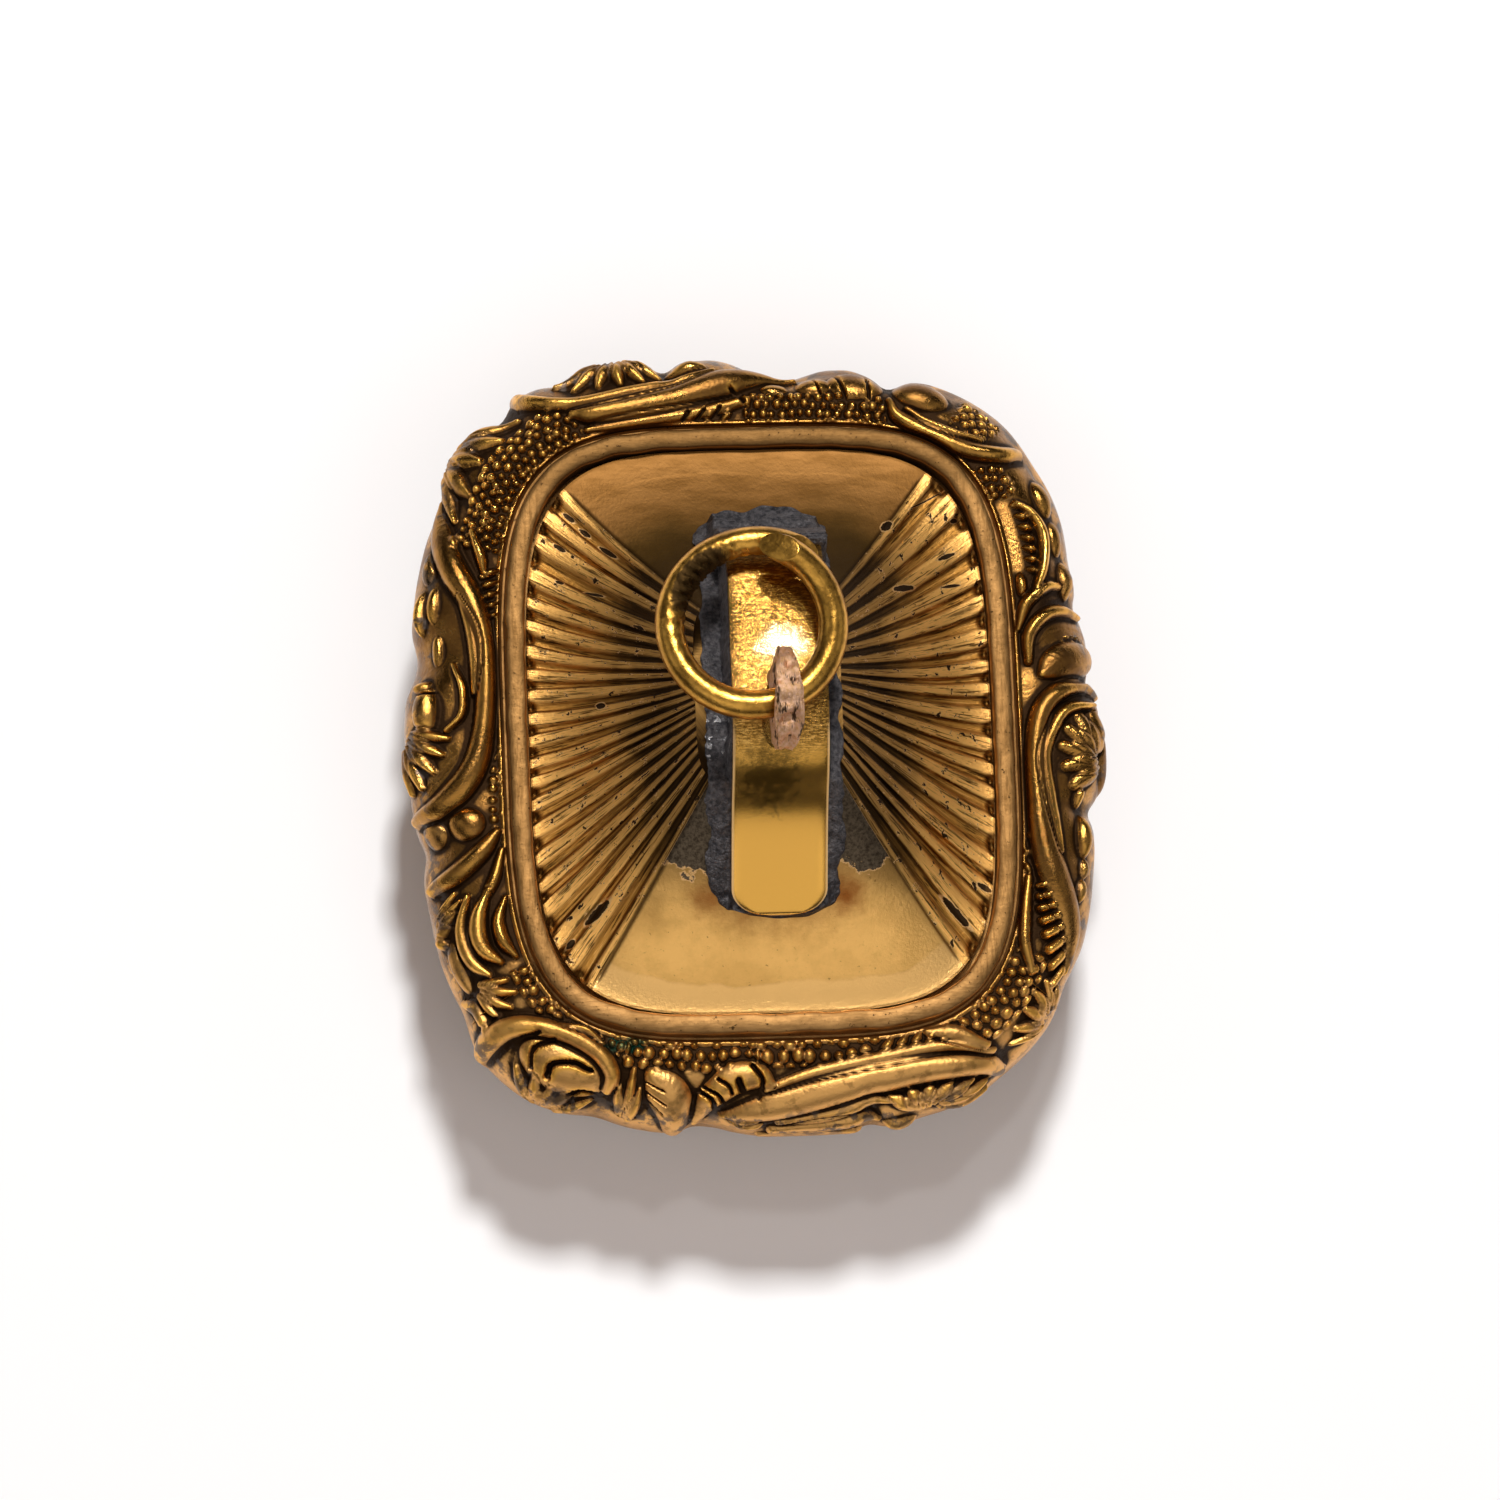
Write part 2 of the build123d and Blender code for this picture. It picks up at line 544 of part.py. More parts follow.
# Strap with its lead solder and eye, one soldered piece
with BuildPart() as hanger:
    with BuildSketch(Plane.YZ.offset(strap_shift)):
        with BuildLine():
            under = Spline(*lifted_route(0))
            over = Spline(*lifted_route(strap_thickness))
            Line(under @ 0, over @ 0)
            Line(under @ 1, over @ 1)
        make_face()
    extrude(amount=strap_width / 2, both=True)
    with BuildSketch(Plane.XY.offset(cap_level)):
        with Locations((strap_shift, (strap_back - strap_front) / 2)):
            RectangleRounded(strap_width, strap_back + strap_front, strap_corner)
    extrude(amount=2 * cap_rise + arch_rise, mode=Mode.INTERSECT)
    solder_ends = (-strap_front - solder_margin, strap_back + solder_margin)
    with BuildSketch(Plane.YZ.offset(strap_shift)):
        with BuildLine():
            low = cap_line(*solder_ends, solder_gap)
            high = cap_line(*solder_ends, solder_gap + solder_thickness)
            Polyline(*low, *reversed(high), close=True)
        make_face()
    extrude(amount=solder_width / 2, both=True)
    with BuildSketch(Plane.XY.offset(cap_level)):
        with Locations((strap_shift, sum(solder_ends) / 2)):
            RectangleRounded(solder_width, solder_ends[1] - solder_ends[0], strap_corner + solder_margin)
    extrude(amount=2 * cap_rise + arch_rise, mode=Mode.INTERSECT)
    with BuildSketch(Plane.YZ.offset(strap_shift)):
        with BuildLine():
            crown = Spline(*lifted_route(fill_in_strap * strap_thickness)[2:-1])
            floor = cap_line((crown @ 0).X, (crown @ 1).X, solder_gap + fill_in_bed * solder_thickness)
            Polyline(crown @ 0, *floor[1:-1], crown @ 1)
        make_face()
    extrude(amount=strap_width / 2 + solder_shoulder, both=True)
    with BuildSketch(Plane.YZ.offset(strap_shift)):
        with Locations((eye_set, eye_level)):
            Circle(eye_radius)
            Circle(eye_hole, mode=Mode.SUBTRACT)
    extrude(amount=eye_thickness / 2, both=True)

# Jump ring with lapped ends, lying back over the strap
axle = (strap_shift, eye_set, eye_level + ring_lift)
with BuildPart() as jump_ring:
    ring_plane = Plane(origin=axle).rotated((-ring_tilt, 0, ring_turn))
    turns = []
    for share in np.linspace(0, 1, ring_knots):
        angle = np.radians(ring_start + (360 + ring_lap_angle) * share)
        first, last = max(1 - 2 * share, 0) ** 3, max(2 * share - 1, 0) ** 3
        radius = ring_radius + ring_out * first - ring_in * last
        lift = ring_rise * last - ring_drop * first
        spot = Vector(radius * np.cos(angle), ring_radius + radius * np.sin(angle), lift)
        turns.append(ring_plane.from_local_coords(spot))
    with BuildLine() as ring_line:
        ring_route = Spline(*turns)
    with BuildSketch(Plane(origin=ring_route @ 0, z_dir=ring_route % 0)):
        Circle(ring_wire / 2)
    sweep()

border.part.label = "border"
top_plate.part.label = "top_plate"
seal_stone.part.label = "seal_stone"
hanger.part.label = "hanger"
jump_ring.part.label = "jump_ring"

export_step(border.part, "parts/border.step")
export_step(top_plate.part, "parts/top_plate.step")
export_step(seal_stone.part, "parts/seal_stone.step")
export_step(hanger.part, "parts/hanger.step")
export_step(jump_ring.part, "parts/jump_ring.step")
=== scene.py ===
"""Fob seal: a chased border, a fluted cap, a soldered strap with its eye, and a jump ring."""
import logging
import math
from dataclasses import dataclass, field
from enum import Enum
from functools import partial, reduce
from typing import NamedTuple

import bmesh
import bpy
import numpy as np
from mathutils import Matrix, Vector


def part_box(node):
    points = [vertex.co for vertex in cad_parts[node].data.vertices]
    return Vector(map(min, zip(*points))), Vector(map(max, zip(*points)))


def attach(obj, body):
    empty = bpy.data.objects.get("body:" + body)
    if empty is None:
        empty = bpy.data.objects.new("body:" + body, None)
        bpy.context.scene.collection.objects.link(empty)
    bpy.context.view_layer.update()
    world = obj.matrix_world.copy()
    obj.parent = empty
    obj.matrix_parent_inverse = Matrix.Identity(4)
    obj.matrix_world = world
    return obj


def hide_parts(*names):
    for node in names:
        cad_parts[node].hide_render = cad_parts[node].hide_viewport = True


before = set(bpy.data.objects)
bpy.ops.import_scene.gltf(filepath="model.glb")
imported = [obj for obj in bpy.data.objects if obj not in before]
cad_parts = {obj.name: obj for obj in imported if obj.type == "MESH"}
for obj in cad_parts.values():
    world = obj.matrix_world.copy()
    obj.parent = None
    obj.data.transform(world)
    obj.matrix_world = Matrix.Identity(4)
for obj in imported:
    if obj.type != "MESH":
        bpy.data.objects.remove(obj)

log = logging.getLogger("fob_seal")

# Lengths below are in millimetres, and each mesh is written in metres through this factor.
MM = 0.001
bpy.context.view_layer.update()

Socket = bpy.types.NodeSocket
Triple = tuple[float, float, float]
# What a node's input takes: a link to another node, a colour or place, or a number.
Value = Socket | Triple | float


class Ends(Enum):
    """How the first and the last loop of a band of loops are closed."""

    JOINED = "joined"
    CAPPED = "capped"


class Fan(NamedTuple):
    """A fan of leaf tongues: its root, its half widths at root and tip, its height and its tips."""

    around: float
    across: float
    root_half: float
    tip_half: float
    height: float
    tips: tuple[tuple[float, float], ...]


class Stroke(NamedTuple):
    """Form of a raised stroke.

    The columns are how much wider it is than its table says, how far its groove reaches in
    millimetres, the groove's depth and place, the power that rounds the stroke, and its fillet.
    """

    wide: float
    margin: float
    groove: float
    groove_at: float
    power: float
    fillet: float


class Gadroons(NamedTuple):
    """A row of short slanted tongues between two places round the border."""

    first: float
    last: float
    count: int
    base: float
    tip: float
    lean: float
    half: float
    height: float


class Ground(NamedTuple):
    """A ground of small beads: its limits round and across, its pitch, bead size and height."""

    first: float
    last: float
    low: float
    high: float
    pitch: float
    bead: float
    height: float


# Places on the moulding are in hundredths of the way round it, from the front middle to the right,
# and in hundredths of the way across it, from the rim outwards and down.
# Columns of every rib: round, across, half width and height in millimetres.
RIBS: dict[str, tuple[tuple[float, float, float, float], ...]] = {
    "front scroll": (
        (-2.6, 44, .12, .20), (-1.2, 38, .35, .36), (0.8, 32, .48, .46), (3.2, 25, .50, .52),
        (6.0, 20, .46, .54), (8.0, 23, .38, .52), (9.3, 32, .30, .46), (9.8, 48, .16, .25)),
    "front lip": (
        (-0.4, 25, .12, .18), (2.0, 17, .18, .26), (5.0, 12, .20, .30), (7.4, 11, .20, .30),
        (8.9, 16, .18, .30), (9.8, 28, .12, .20)),
    "corner leaf edge": (
        (7.6, 3, .14, .22), (8.8, 9, .26, .30), (9.7, 22, .12, .24)),
    "front leaf top": (
        (0.2, 44, .14, .22), (2.6, 40, .24, .32), (4.6, 34, .22, .34), (5.5, 35, .10, .24)),
    "front leaf middle": (
        (0.0, 52, .24, .26), (2.2, 48, .34, .36), (4.2, 45, .26, .34), (5.0, 50, .10, .2)),
    "front leaf low": (
        (-0.6, 60, .2, .2), (1.6, 57, .3, .3), (3.2, 56, .24, .3), (4.2, 60, .1, .2)),
    "shell lip": (
        (12.9, 15, .12, .22), (14.0, 7, .18, .3), (15.6, 4, .18, .3), (17.2, 4, .12, .22)),
    "right scroll": (
        (13.7, 42, .14, .25), (15.2, 32, .42, .44), (17.0, 19, .48, .52), (19.0, 11, .40, .52),
        (21.5, 8, .30, .52), (24.0, 8.5, .30, .52), (25.8, 13, .30, .52), (26.8, 23, .30, .5),
        (27.2, 38, .26, .44), (27.0, 56, .18, .3)),
    "right scroll inner": (
        (18.6, 20, .12, .28), (21.0, 15, .2, .4), (23.2, 12.5, .2, .42), (24.7, 17, .2, .42),
        (25.8, 25, .2, .4), (26.2, 42, .14, .3)),
    "back leaf body": (
        (27.6, 14, .16, .22), (28.2, 24, .55, .4), (28.5, 38, .6, .42), (28.7, 55, .3, .2)),
    "back leaf rib": (
        (28.2, 7, .12, .24), (29.6, 8, .2, .38), (30.6, 17, .22, .42), (30.9, 30, .2, .4),
        (30.8, 46, .14, .25)),
    "back leaf rib outer": (
        (29.9, 3, .1, .2), (31.2, 8, .2, .34), (32.0, 19, .18, .34), (32.1, 30, .12, .2)),
    "corner scoop": (
        (31.6, 12, .1, .24), (32.8, 18, .17, .44), (34.3, 22, .2, .5), (35.4, 19, .16, .42),
        (36.1, 13, .08, .24)),
    "corner volute": (
        (37.9, 34, .16, .25), (38.2, 18, .24, .42), (39.2, 7, .26, .46), (41.0, 3.5, .26, .48),
        (42.6, 7, .2, .42), (43.1, 15, .1, .25)),
    "corner volute inner": (
        (39.0, 16, .08, .25), (40.0, 10, .12, .36), (41.3, 8.5, .12, .36), (42.3, 12, .08, .25)),
    "back scroll": (
        (47.5, 33, .1, .25), (49.2, 30, .34, .42), (51.2, 23, .46, .5), (53.4, 15.5, .44, .54),
        (55.6, 11.5, .38, .56), (57.4, 11.5, .30, .54), (58.3, 15, .16, .34)),
    "back scroll under": (
        (51.6, 31, .12, .26), (53.6, 23.5, .2, .4), (55.6, 19.5, .22, .42), (57.4, 19, .22, .42),
        (58.8, 25, .22, .42), (59.5, 38, .2, .36), (59.6, 54, .14, .2)),
    "back lip": (
        (50.0, 13, .14, .24), (51.5, 9, .2, .26), (54.0, 5, .2, .28), (56.5, 3.5, .18, .28),
        (58.0, 5, .1, .2)),
    "left tip": (
        (64.8, 18, .1, .28), (65.8, 12, .17, .42), (66.7, 9, .1, .3)),
    "left scroll": (
        (63.7, 48, .12, .25), (65.1, 37, .38, .42), (66.6, 25, .42, .5), (68.2, 14, .36, .54),
        (70.2, 8.2, .28, .56), (72.4, 7.6, .28, .56), (74.6, 9.5, .30, .54), (76.4, 14, .36, .52),
        (77.7, 23, .40, .5), (78.5, 35, .36, .46), (78.8, 52, .24, .3)),
    "left scroll inner": (
        (68.0, 20, .1, .3), (69.4, 14.5, .18, .42), (71.0, 12.5, .18, .42), (72.8, 13.5, .1, .3)),
    "left hollow arc": (
        (71.2, 24, .08, .2), (72.4, 19, .12, .34), (73.8, 19.5, .12, .34), (74.6, 27, .08, .26)),
    "lower left rib": (
        (79.9, 5, .14, .24), (80.9, 14, .3, .42), (81.8, 28, .32, .46), (82.2, 46, .2, .34)),
    "lower left lip": (
        (80.8, 3, .1, .2), (82.2, 8, .18, .28), (83.4, 16, .14, .26)),
    "lobe top": (
        (83.2, 4, .08, .2), (84.3, 9.5, .18, .38), (85.3, 9.5, .2, .42), (86.1, 6, .08, .22)),
    "lobe middle": (
        (82.8, 12, .1, .22), (84.0, 19, .26, .46), (85.2, 20.5, .28, .52), (86.1, 14, .1, .26)),
    "lobe low": (
        (82.9, 23, .1, .22), (84.3, 29.5, .22, .4), (85.6, 28.5, .24, .46), (86.4, 22, .1, .24)),
    "small arch": (
        (86.8, 50, .1, .2), (87.2, 40, .2, .36), (88.0, 38, .2, .36), (88.5, 46, .12, .2)),
    "shell rim": (
        (88.5, 66, .12, .2), (88.3, 46, .24, .4), (88.4, 28, .26, .46), (89.1, 16, .26, .5),
        (90.3, 10.5, .26, .52), (91.6, 12, .26, .5), (92.4, 20, .24, .46), (92.4, 32, .14, .3)),
    "shell crest": (
        (89.7, 8, .06, .24), (90.8, 4.5, .12, .4), (91.8, 7.5, .06, .24)),
    "front leaf blade": (
        (94.1, 18, .22, .28), (94.9, 28, .6, .42), (95.3, 42, .5, .44), (95.2, 62, .2, .2)),
    "front curl": (
        (96.2, 50, .2, .3), (96.8, 32, .4, .4), (97.9, 20, .46, .42), (99.2, 18, .34, .36),
        (99.9, 22, .12, .2)),
}

FANS: dict[str, Fan] = {
    "front acanthus": Fan(7.0, 46, .26, .09, .44, (
        (5.4, 31), (6.3, 28), (7.2, 28), (8.1, 30), (8.9, 35), (9.3, 43), (9.1, 51))),
    "corner leaf": Fan(12.0, 46, .2, .08, .36, (
        (10.5, 34), (10.9, 27), (11.6, 23), (12.3, 23), (12.9, 27), (13.3, 34))),
    "right acanthus": Fan(23.4, 46, .34, .2, .42, (
        (22.0, 30), (22.9, 25), (23.9, 23), (24.8, 26), (25.5, 32), (25.9, 42))),
    "back acanthus": Fan(56.2, 48, .24, .1, .42, (
        (54.2, 30), (55.0, 26), (56.0, 26.5), (56.9, 29), (57.8, 34), (58.3, 43))),
    "left acanthus": Fan(74.4, 54, .25, .1, .42, (
        (75.0, 27), (75.8, 30), (76.6, 35), (77.3, 43), (77.4, 52))),
    "tuft": Fan(62.4, 56, .26, .1, .36, (
        (60.1, 32), (61.0, 27), (62.0, 29), (63.3, 26), (64.4, 31))),
    "sprig": Fan(86.5, 36, .16, .07, .32, (
        (86.9, 15), (87.5, 14), (87.9, 20), (88.0, 28))),
    "shell feathers": Fan(90.6, 60, .18, .07, .34, (
        (89.4, 40), (90.0, 36), (90.6, 37), (91.2, 36), (91.9, 42))),
    "textured leaf": Fan(93.2, 58, .16, .07, .3, (
        (92.7, 20), (93.3, 16), (93.7, 26))),
    "grain leaf": Fan(84.3, 52, .18, .08, .36, (
        (82.6, 30), (83.0, 27), (83.5, 31), (84.0, 37), (84.6, 42))),
}

# Round lumps. Columns: round, across, half sizes both ways in hundredths, height in millimetres.
BOSSES: tuple[tuple[float, float, float, float, float], ...] = (
    (6.9, 40, .95, 6, .44), (5.9, 55, .7, 5, .34), (17.0, 37, .55, 4, .28), (18.0, 38, .5, 3.5, .26),
    (19.5, 36.5, 1.1, 5.5, .42), (21.4, 34, .55, 3.5, .3), (23.2, 36, .8, 8, .46), (23.6, 62, 1.7, 14, .36),
    (32.1, 6.5, .7, 3, .3), (32.4, 37, .95, 6.5, .36), (34.3, 34, .8, 6, .3), (36.0, 32, .8, 7, .36),
    (41.9, 24, 1.15, 11, .44), (44.7, 24, 1.35, 11, .34), (46.6, 22, .9, 7, .3), (52.9, 34, 1.1, 5, .42),
    (54.9, 38, .6, 6, .3), (65.4, 27, .5, 4.5, .34), (68.2, 36, .9, 4, .26), (68.5, 45, 1.1, 3.6, .36),
    (70.4, 34, .8, 4, .26), (73.5, 37, 1.35, 6.5, .52), (72.2, 40, .35, 5.5, .4), (79.4, 20, .85, 10, .36),
    (79.7, 40, .7, 9, .34), (85.6, 40, 1.1, 6, .3), (90.8, 27, 1.75, 15, .42), (98.6, 46, .9, 6, .34),
    (48.6, 20, .7, 5, .24), (66.4, 42, .8, 6, .26),
)

# Cuts of the graver. Columns: half width and depth in millimetres, then the places (round, across).
CUTS: tuple[tuple[float, float, tuple[tuple[float, float], ...]], ...] = (
    (.16, .30, ((28.8, 12), (29.6, 22), (29.9, 34), (29.9, 48))),
    (.09, .34, ((90.35, 33), (90.3, 26), (90.9, 21), (91.6, 21.5))),
    (.10, .32, ((91.2, 39), (91.5, 34), (92.0, 35), (92.2, 38))),
    (.07, .26, ((89.3, 17), (88.95, 28), (89.2, 42))),
    (.07, .26, ((89.9, 16), (89.5, 25), (89.8, 34))),
    (.10, .34, ((96.1, 26), (96.9, 30), (97.1, 39))),
    (.08, .30, ((96.5, 24), (97.2, 27), (97.5, 33))),
    (.07, .26, ((97.2, 19), (97.7, 22), (97.9, 27))),
    (.15, .32, ((98.2, 20), (98.4, 25))),
    (.09, .32, ((98.9, 13), (99.4, 20), (99.2, 29))),
    (.04, .14, ((93.9, 22), (94.7, 25))),
    (.04, .14, ((93.9, 27), (94.8, 32))),
    (.04, .14, ((94.0, 32), (94.7, 38))),
    (.07, .20, ((44.0, 15), (44.2, 31))),
    (.07, .20, ((45.1, 14), (45.6, 30))),
    (.05, .20, ((46.3, 16), (46.7, 27))),
    (.08, .30, ((50.2, 12), (50.8, 18))),
    (.06, .20, ((51.4, 9), (51.8, 3))),
    (.06, .20, ((52.2, 8), (52.6, 3))),
    (.06, .20, ((53.0, 7), (53.3, 3))),
    (.06, .30, ((72.6, 32), (72.6, 44))),
    (.08, .20, ((76.0, 24), (77.0, 34), (77.7, 46))),
)

GADROON_ROWS: dict[str, Gadroons] = {
    "front row": Gadroons(5.2, 8.0, 5, 11, 2.5, .7, .16, .3),
    "right row": Gadroons(17.4, 19.0, 3, 5, 1.5, .5, .12, .24),
    "back row": Gadroons(50.8, 53.4, 4, 9, 2.5, .5, .14, .26),
    "left row": Gadroons(66.9, 69.1, 5, 10, 2, -.4, .13, .3),
    "scoop row": Gadroons(32.7, 35.8, 7, 17, 11, .25, .12, .3),
}

GROUNDS: dict[str, Ground] = {
    "front": Ground(-0.9, 5.3, 1.5, 14, .56, .25, .26),
    "front right": Ground(8.8, 13.7, 0.5, 22, .42, .18, .2),
    "back right": Ground(36.5, 38.3, 0.5, 17, .36, .155, .2),
    "volute": Ground(38.9, 40.4, 13, 36, .36, .155, .2),
    "back": Ground(43.1, 50.2, 0.5, 17, .38, .165, .2),
    "back left": Ground(58.2, 65.6, 0.5, 25, .35, .155, .22),
    "front left": Ground(86.7, 92.8, 0.5, 12, .42, .18, .2),
    "front leaf": Ground(92.8, 99.3, 1.0, 16, .48, .21, .24),
    "right leaf": Ground(29.0, 29.8, 26, 46, .35, .15, .16),
    "left edge": Ground(75.5, 80.5, 0.5, 8, .42, .18, .14),
}

# Swell of the moulding's widest part. Columns: round, millimetres outwards.
SWELL: tuple[tuple[float, float], ...] = (
    (0, -.15), (2.5, -.15), (4, -.2), (4.7, -.5), (5.6, -.25), (7, -.45), (9, -.5), (10, -.75), (12, -.65),
    (13.4, -.8), (15, -.5), (17, -.38), (19.3, -.3), (20.3, -.35), (21, -.6), (22, -.1), (24.5, .05),
    (26.5, .0), (27.3, -.45), (28.5, -.3), (29.8, -.3), (30.8, -.5), (31.4, -.7), (32.3, -.5), (33.5, -.6),
    (35, -.5), (36.2, -.5), (37.6, -.6), (39, -.5), (40.5, -.55), (42, -.6), (42.6, -.8), (43.1, -1.25),
    (43.8, -.8), (44.8, -.55), (46, -.6), (47.2, -.9), (48.2, -1.1), (49.4, -.7), (50.5, -.35), (51.5, -.15),
    (53, -.2), (53.9, -.7), (54.6, -.3), (56, -.15), (57.1, -.3), (57.9, -.6), (58.7, -.25), (59.6, -.2),
    (60.3, -.75), (61, -.3), (62.5, -.15), (63.6, -.55), (65, -.35), (67, -.2), (69, -.1), (70.4, -.35),
    (71.3, -.2), (72.4, .15), (74, .25), (76, .15), (78, .05), (79.2, -.1), (80.2, -.4), (81.5, -.2),
    (83, -.3), (85, -.35), (87, -.5), (88.3, -.1), (90, -.1), (91.3, -.3), (92.2, -.65), (93.3, -.4),
    (94.6, -.3), (95.5, -.3), (96.3, -.7), (97.1, -.6), (98, -.35), (99, -.2),
)

# Section of the foot, from the neck down round the collet and up inside to the rim's inner corner.
# Columns: millimetres outside the rim's outline, level in millimetres.
FOOT_SECTION: tuple[tuple[float, float], ...] = (
    (0.62, 3.33), (0.47, 3.22), (0.45, 3.1), (0.5, 2.85), (0.62, 2.6), (0.85, 2.42), (1.1, 2.38),
    (1.2, 2.32), (1.25, 2.15), (1.25, 1.7), (1.22, 1.55), (1.15, 1.45), (1.15, 1.0), (1.12, 0.85),
    (0.92, 0.42), (0.8, 0.36), (0.47, 0.36), (0.47, 2.25), (-1.03, 2.25), (-1.03, 3.25), (1.7, 4.7),
    (1.8, 6.3), (0.7, 7.3), (-1.19, 7.55), (-1.19, 7.74), (-0.74, 7.74),
)

# Section of the rim's bead, from inside to outside. Columns: shares of its width and of its height.
BEAD_SECTION: tuple[tuple[float, float], ...] = (
    (-1.0, 0.1), (-0.99, 0.6), (-0.97, 0.78), (-0.93, 0.89), (-0.86, 0.95), (-0.7, 0.985), (-0.5, 1.0),
    (-0.3, 0.975), (-0.14, 0.92), (-0.07, 0.85), (-0.03, 0.72), (-0.01, 0.4), (0.0, 0.05), (0.03, -0.1),
    (0.12, -0.12),
)

# Larger worn places on the cap. Columns: right, back, half length, half width in millimetres,
# and the turn in degrees.
WORN_PLACES: tuple[tuple[float, float, float, float, float], ...] = (
    (-6.96, 6.78, .36, .13, -38), (-6.57, 7.94, .4, .12, -45), (-6.04, 7.3, .36, .13, -45),
    (-5.25, 6.43, .6, .12, -42), (-5.75, .77, .24, .2, 0), (-7.0, 5.5, .25, .1, -25),
    (-5.8, 4.9, .5, .08, -20), (-6.07, -6.6, .8, .24, 43), (-7.07, -7.65, .3, .16, 45),
    (7.75, -5.96, .4, .16, -32), (6.7, -6.9, 1.0, .18, -47), (6.3, 8.3, 1.1, .05, 30),
    (7.25, 7.54, .22, .12, 20), (6.9, 6.14, .5, .12, 24), (5.18, 4.74, .6, .17, 14),
    (7.0, 5.04, .5, .09, 12), (4.75, 7.17, .35, .2, 40),
)


def ease(value: np.ndarray | float, low: float, high: float) -> np.ndarray:
    """Smooth step from 0 at low to 1 at high.

    Args:
        value: what is stepped, as numbers or an array.
        low: where the step starts.
        high: where the step ends.

    Returns:
        The step's height at each value.
    """
    share = np.clip((np.asarray(value, float) - low) / (high - low), 0, 1)
    return share * share * (3 - 2 * share)


def short_way(difference: np.ndarray) -> np.ndarray:
    """Distance round the border in hundredths, taken the short way."""
    return (difference + 50.0) % 100.0 - 50.0


def smooth_chain(rows: list[tuple[float, ...]], steps: int) -> np.ndarray:
    """Catmull-Rom curve through table rows, with all their columns.

    Args:
        rows: the chosen places.
        steps: how many points each span gets.

    Returns:
        The curve's points, one a row.
    """
    p = np.array(rows, float)
    p = np.vstack([2 * p[0] - p[1], p, 2 * p[-1] - p[-2]])
    u = np.arange(steps)[:, None] / steps
    spans = []
    for a, b, c, d in zip(p[:-3], p[1:-2], p[2:-1], p[3:]):
        bend = (2 * a - 5 * b + 4 * c - d) * u**2 + (3 * b - a - 3 * c + d) * u**3
        spans.append(0.5 * (2 * b + (c - a) * u + bend))
    return np.vstack(spans + [p[-2]])


def hashed(column: np.ndarray, row: np.ndarray, seed: float) -> np.ndarray:
    """Repeatable random numbers for the cells of a pattern.

    Args:
        column: the cells' columns.
        row: the cells' rows.
        seed: number that tells one draw from another.

    Returns:
        A number from 0 to 1 for each cell.
    """
    mixed = np.sin(column * 127.1 + row * 311.7 + seed * 74.7) * 43758.5453
    return mixed - np.floor(mixed)


def drifting(around: np.ndarray, waves: int, seed: int) -> np.ndarray:
    """Gentle random drift, between about -1 and 1, that closes after one turn.

    Args:
        around: places round the piece as shares of a turn.
        waves: how many waves the finest part of the drift has.
        seed: number that the drift is drawn from.

    Returns:
        The drift at each place.
    """
    draw = np.random.default_rng(seed)
    total = np.zeros(np.shape(around))
    for wave in range(1, waves + 1):
        total += draw.normal() * np.sin(2 * np.pi * (wave * around + draw.random())) / math.sqrt(waves)
    return total


@dataclass(frozen=True)
class Rim:
    """Cushion-shaped outline of the cap opening, and the places round it."""

    width: float
    length: float
    squareness: float = 4.1
    fine_steps: int = 6000

    def outline(self, inset: float, angle: np.ndarray) -> np.ndarray:
        """Points of the outline, moved in, in directions given in degrees."""
        return cushion(self.width / 2 - inset, self.length / 2 - inset, self.squareness, angle)

    def stations(self, shares: np.ndarray) -> tuple[np.ndarray, np.ndarray]:
        """Points and outward directions at shares of the way round, from the front to the right.

        Args:
            shares: places round the rim, from 0 to 1.

        Returns:
            The points and the unit directions, one a row.
        """
        fine = self.outline(0.0, np.linspace(-90, 270, self.fine_steps + 1))
        walked = np.concatenate([[0], np.cumsum(np.hypot(*np.diff(fine, axis=0).T))])
        steps = (shares % 1.0) * walked[-1]
        points = np.stack([np.interp(steps, walked, fine[:, k]) for k in (0, 1)], 1)
        half = np.array([self.width / 2, self.length / 2])
        out = np.sign(points) * np.abs(points / half) ** (self.squareness - 1) / half
        return points, out / np.linalg.norm(out, axis=1)[:, None]


def cushion(half_x: float, half_y: float, squareness: float, angle: np.ndarray) -> np.ndarray:
    """Points of a cushion-shaped outline.

    Args:
        half_x: half its width.
        half_y: half its length.
        squareness: 2 for an ellipse, more for squarer corners.
        angle: directions from the middle in degrees.

    Returns:
        The points, one a row.
    """
    c, s = np.cos(np.radians(angle)), np.sin(np.radians(angle))
    reach = (np.abs(c / half_x) ** squareness + np.abs(s / half_y) ** squareness) ** (-1 / squareness)
    return np.stack([reach * c, reach * s], -1)


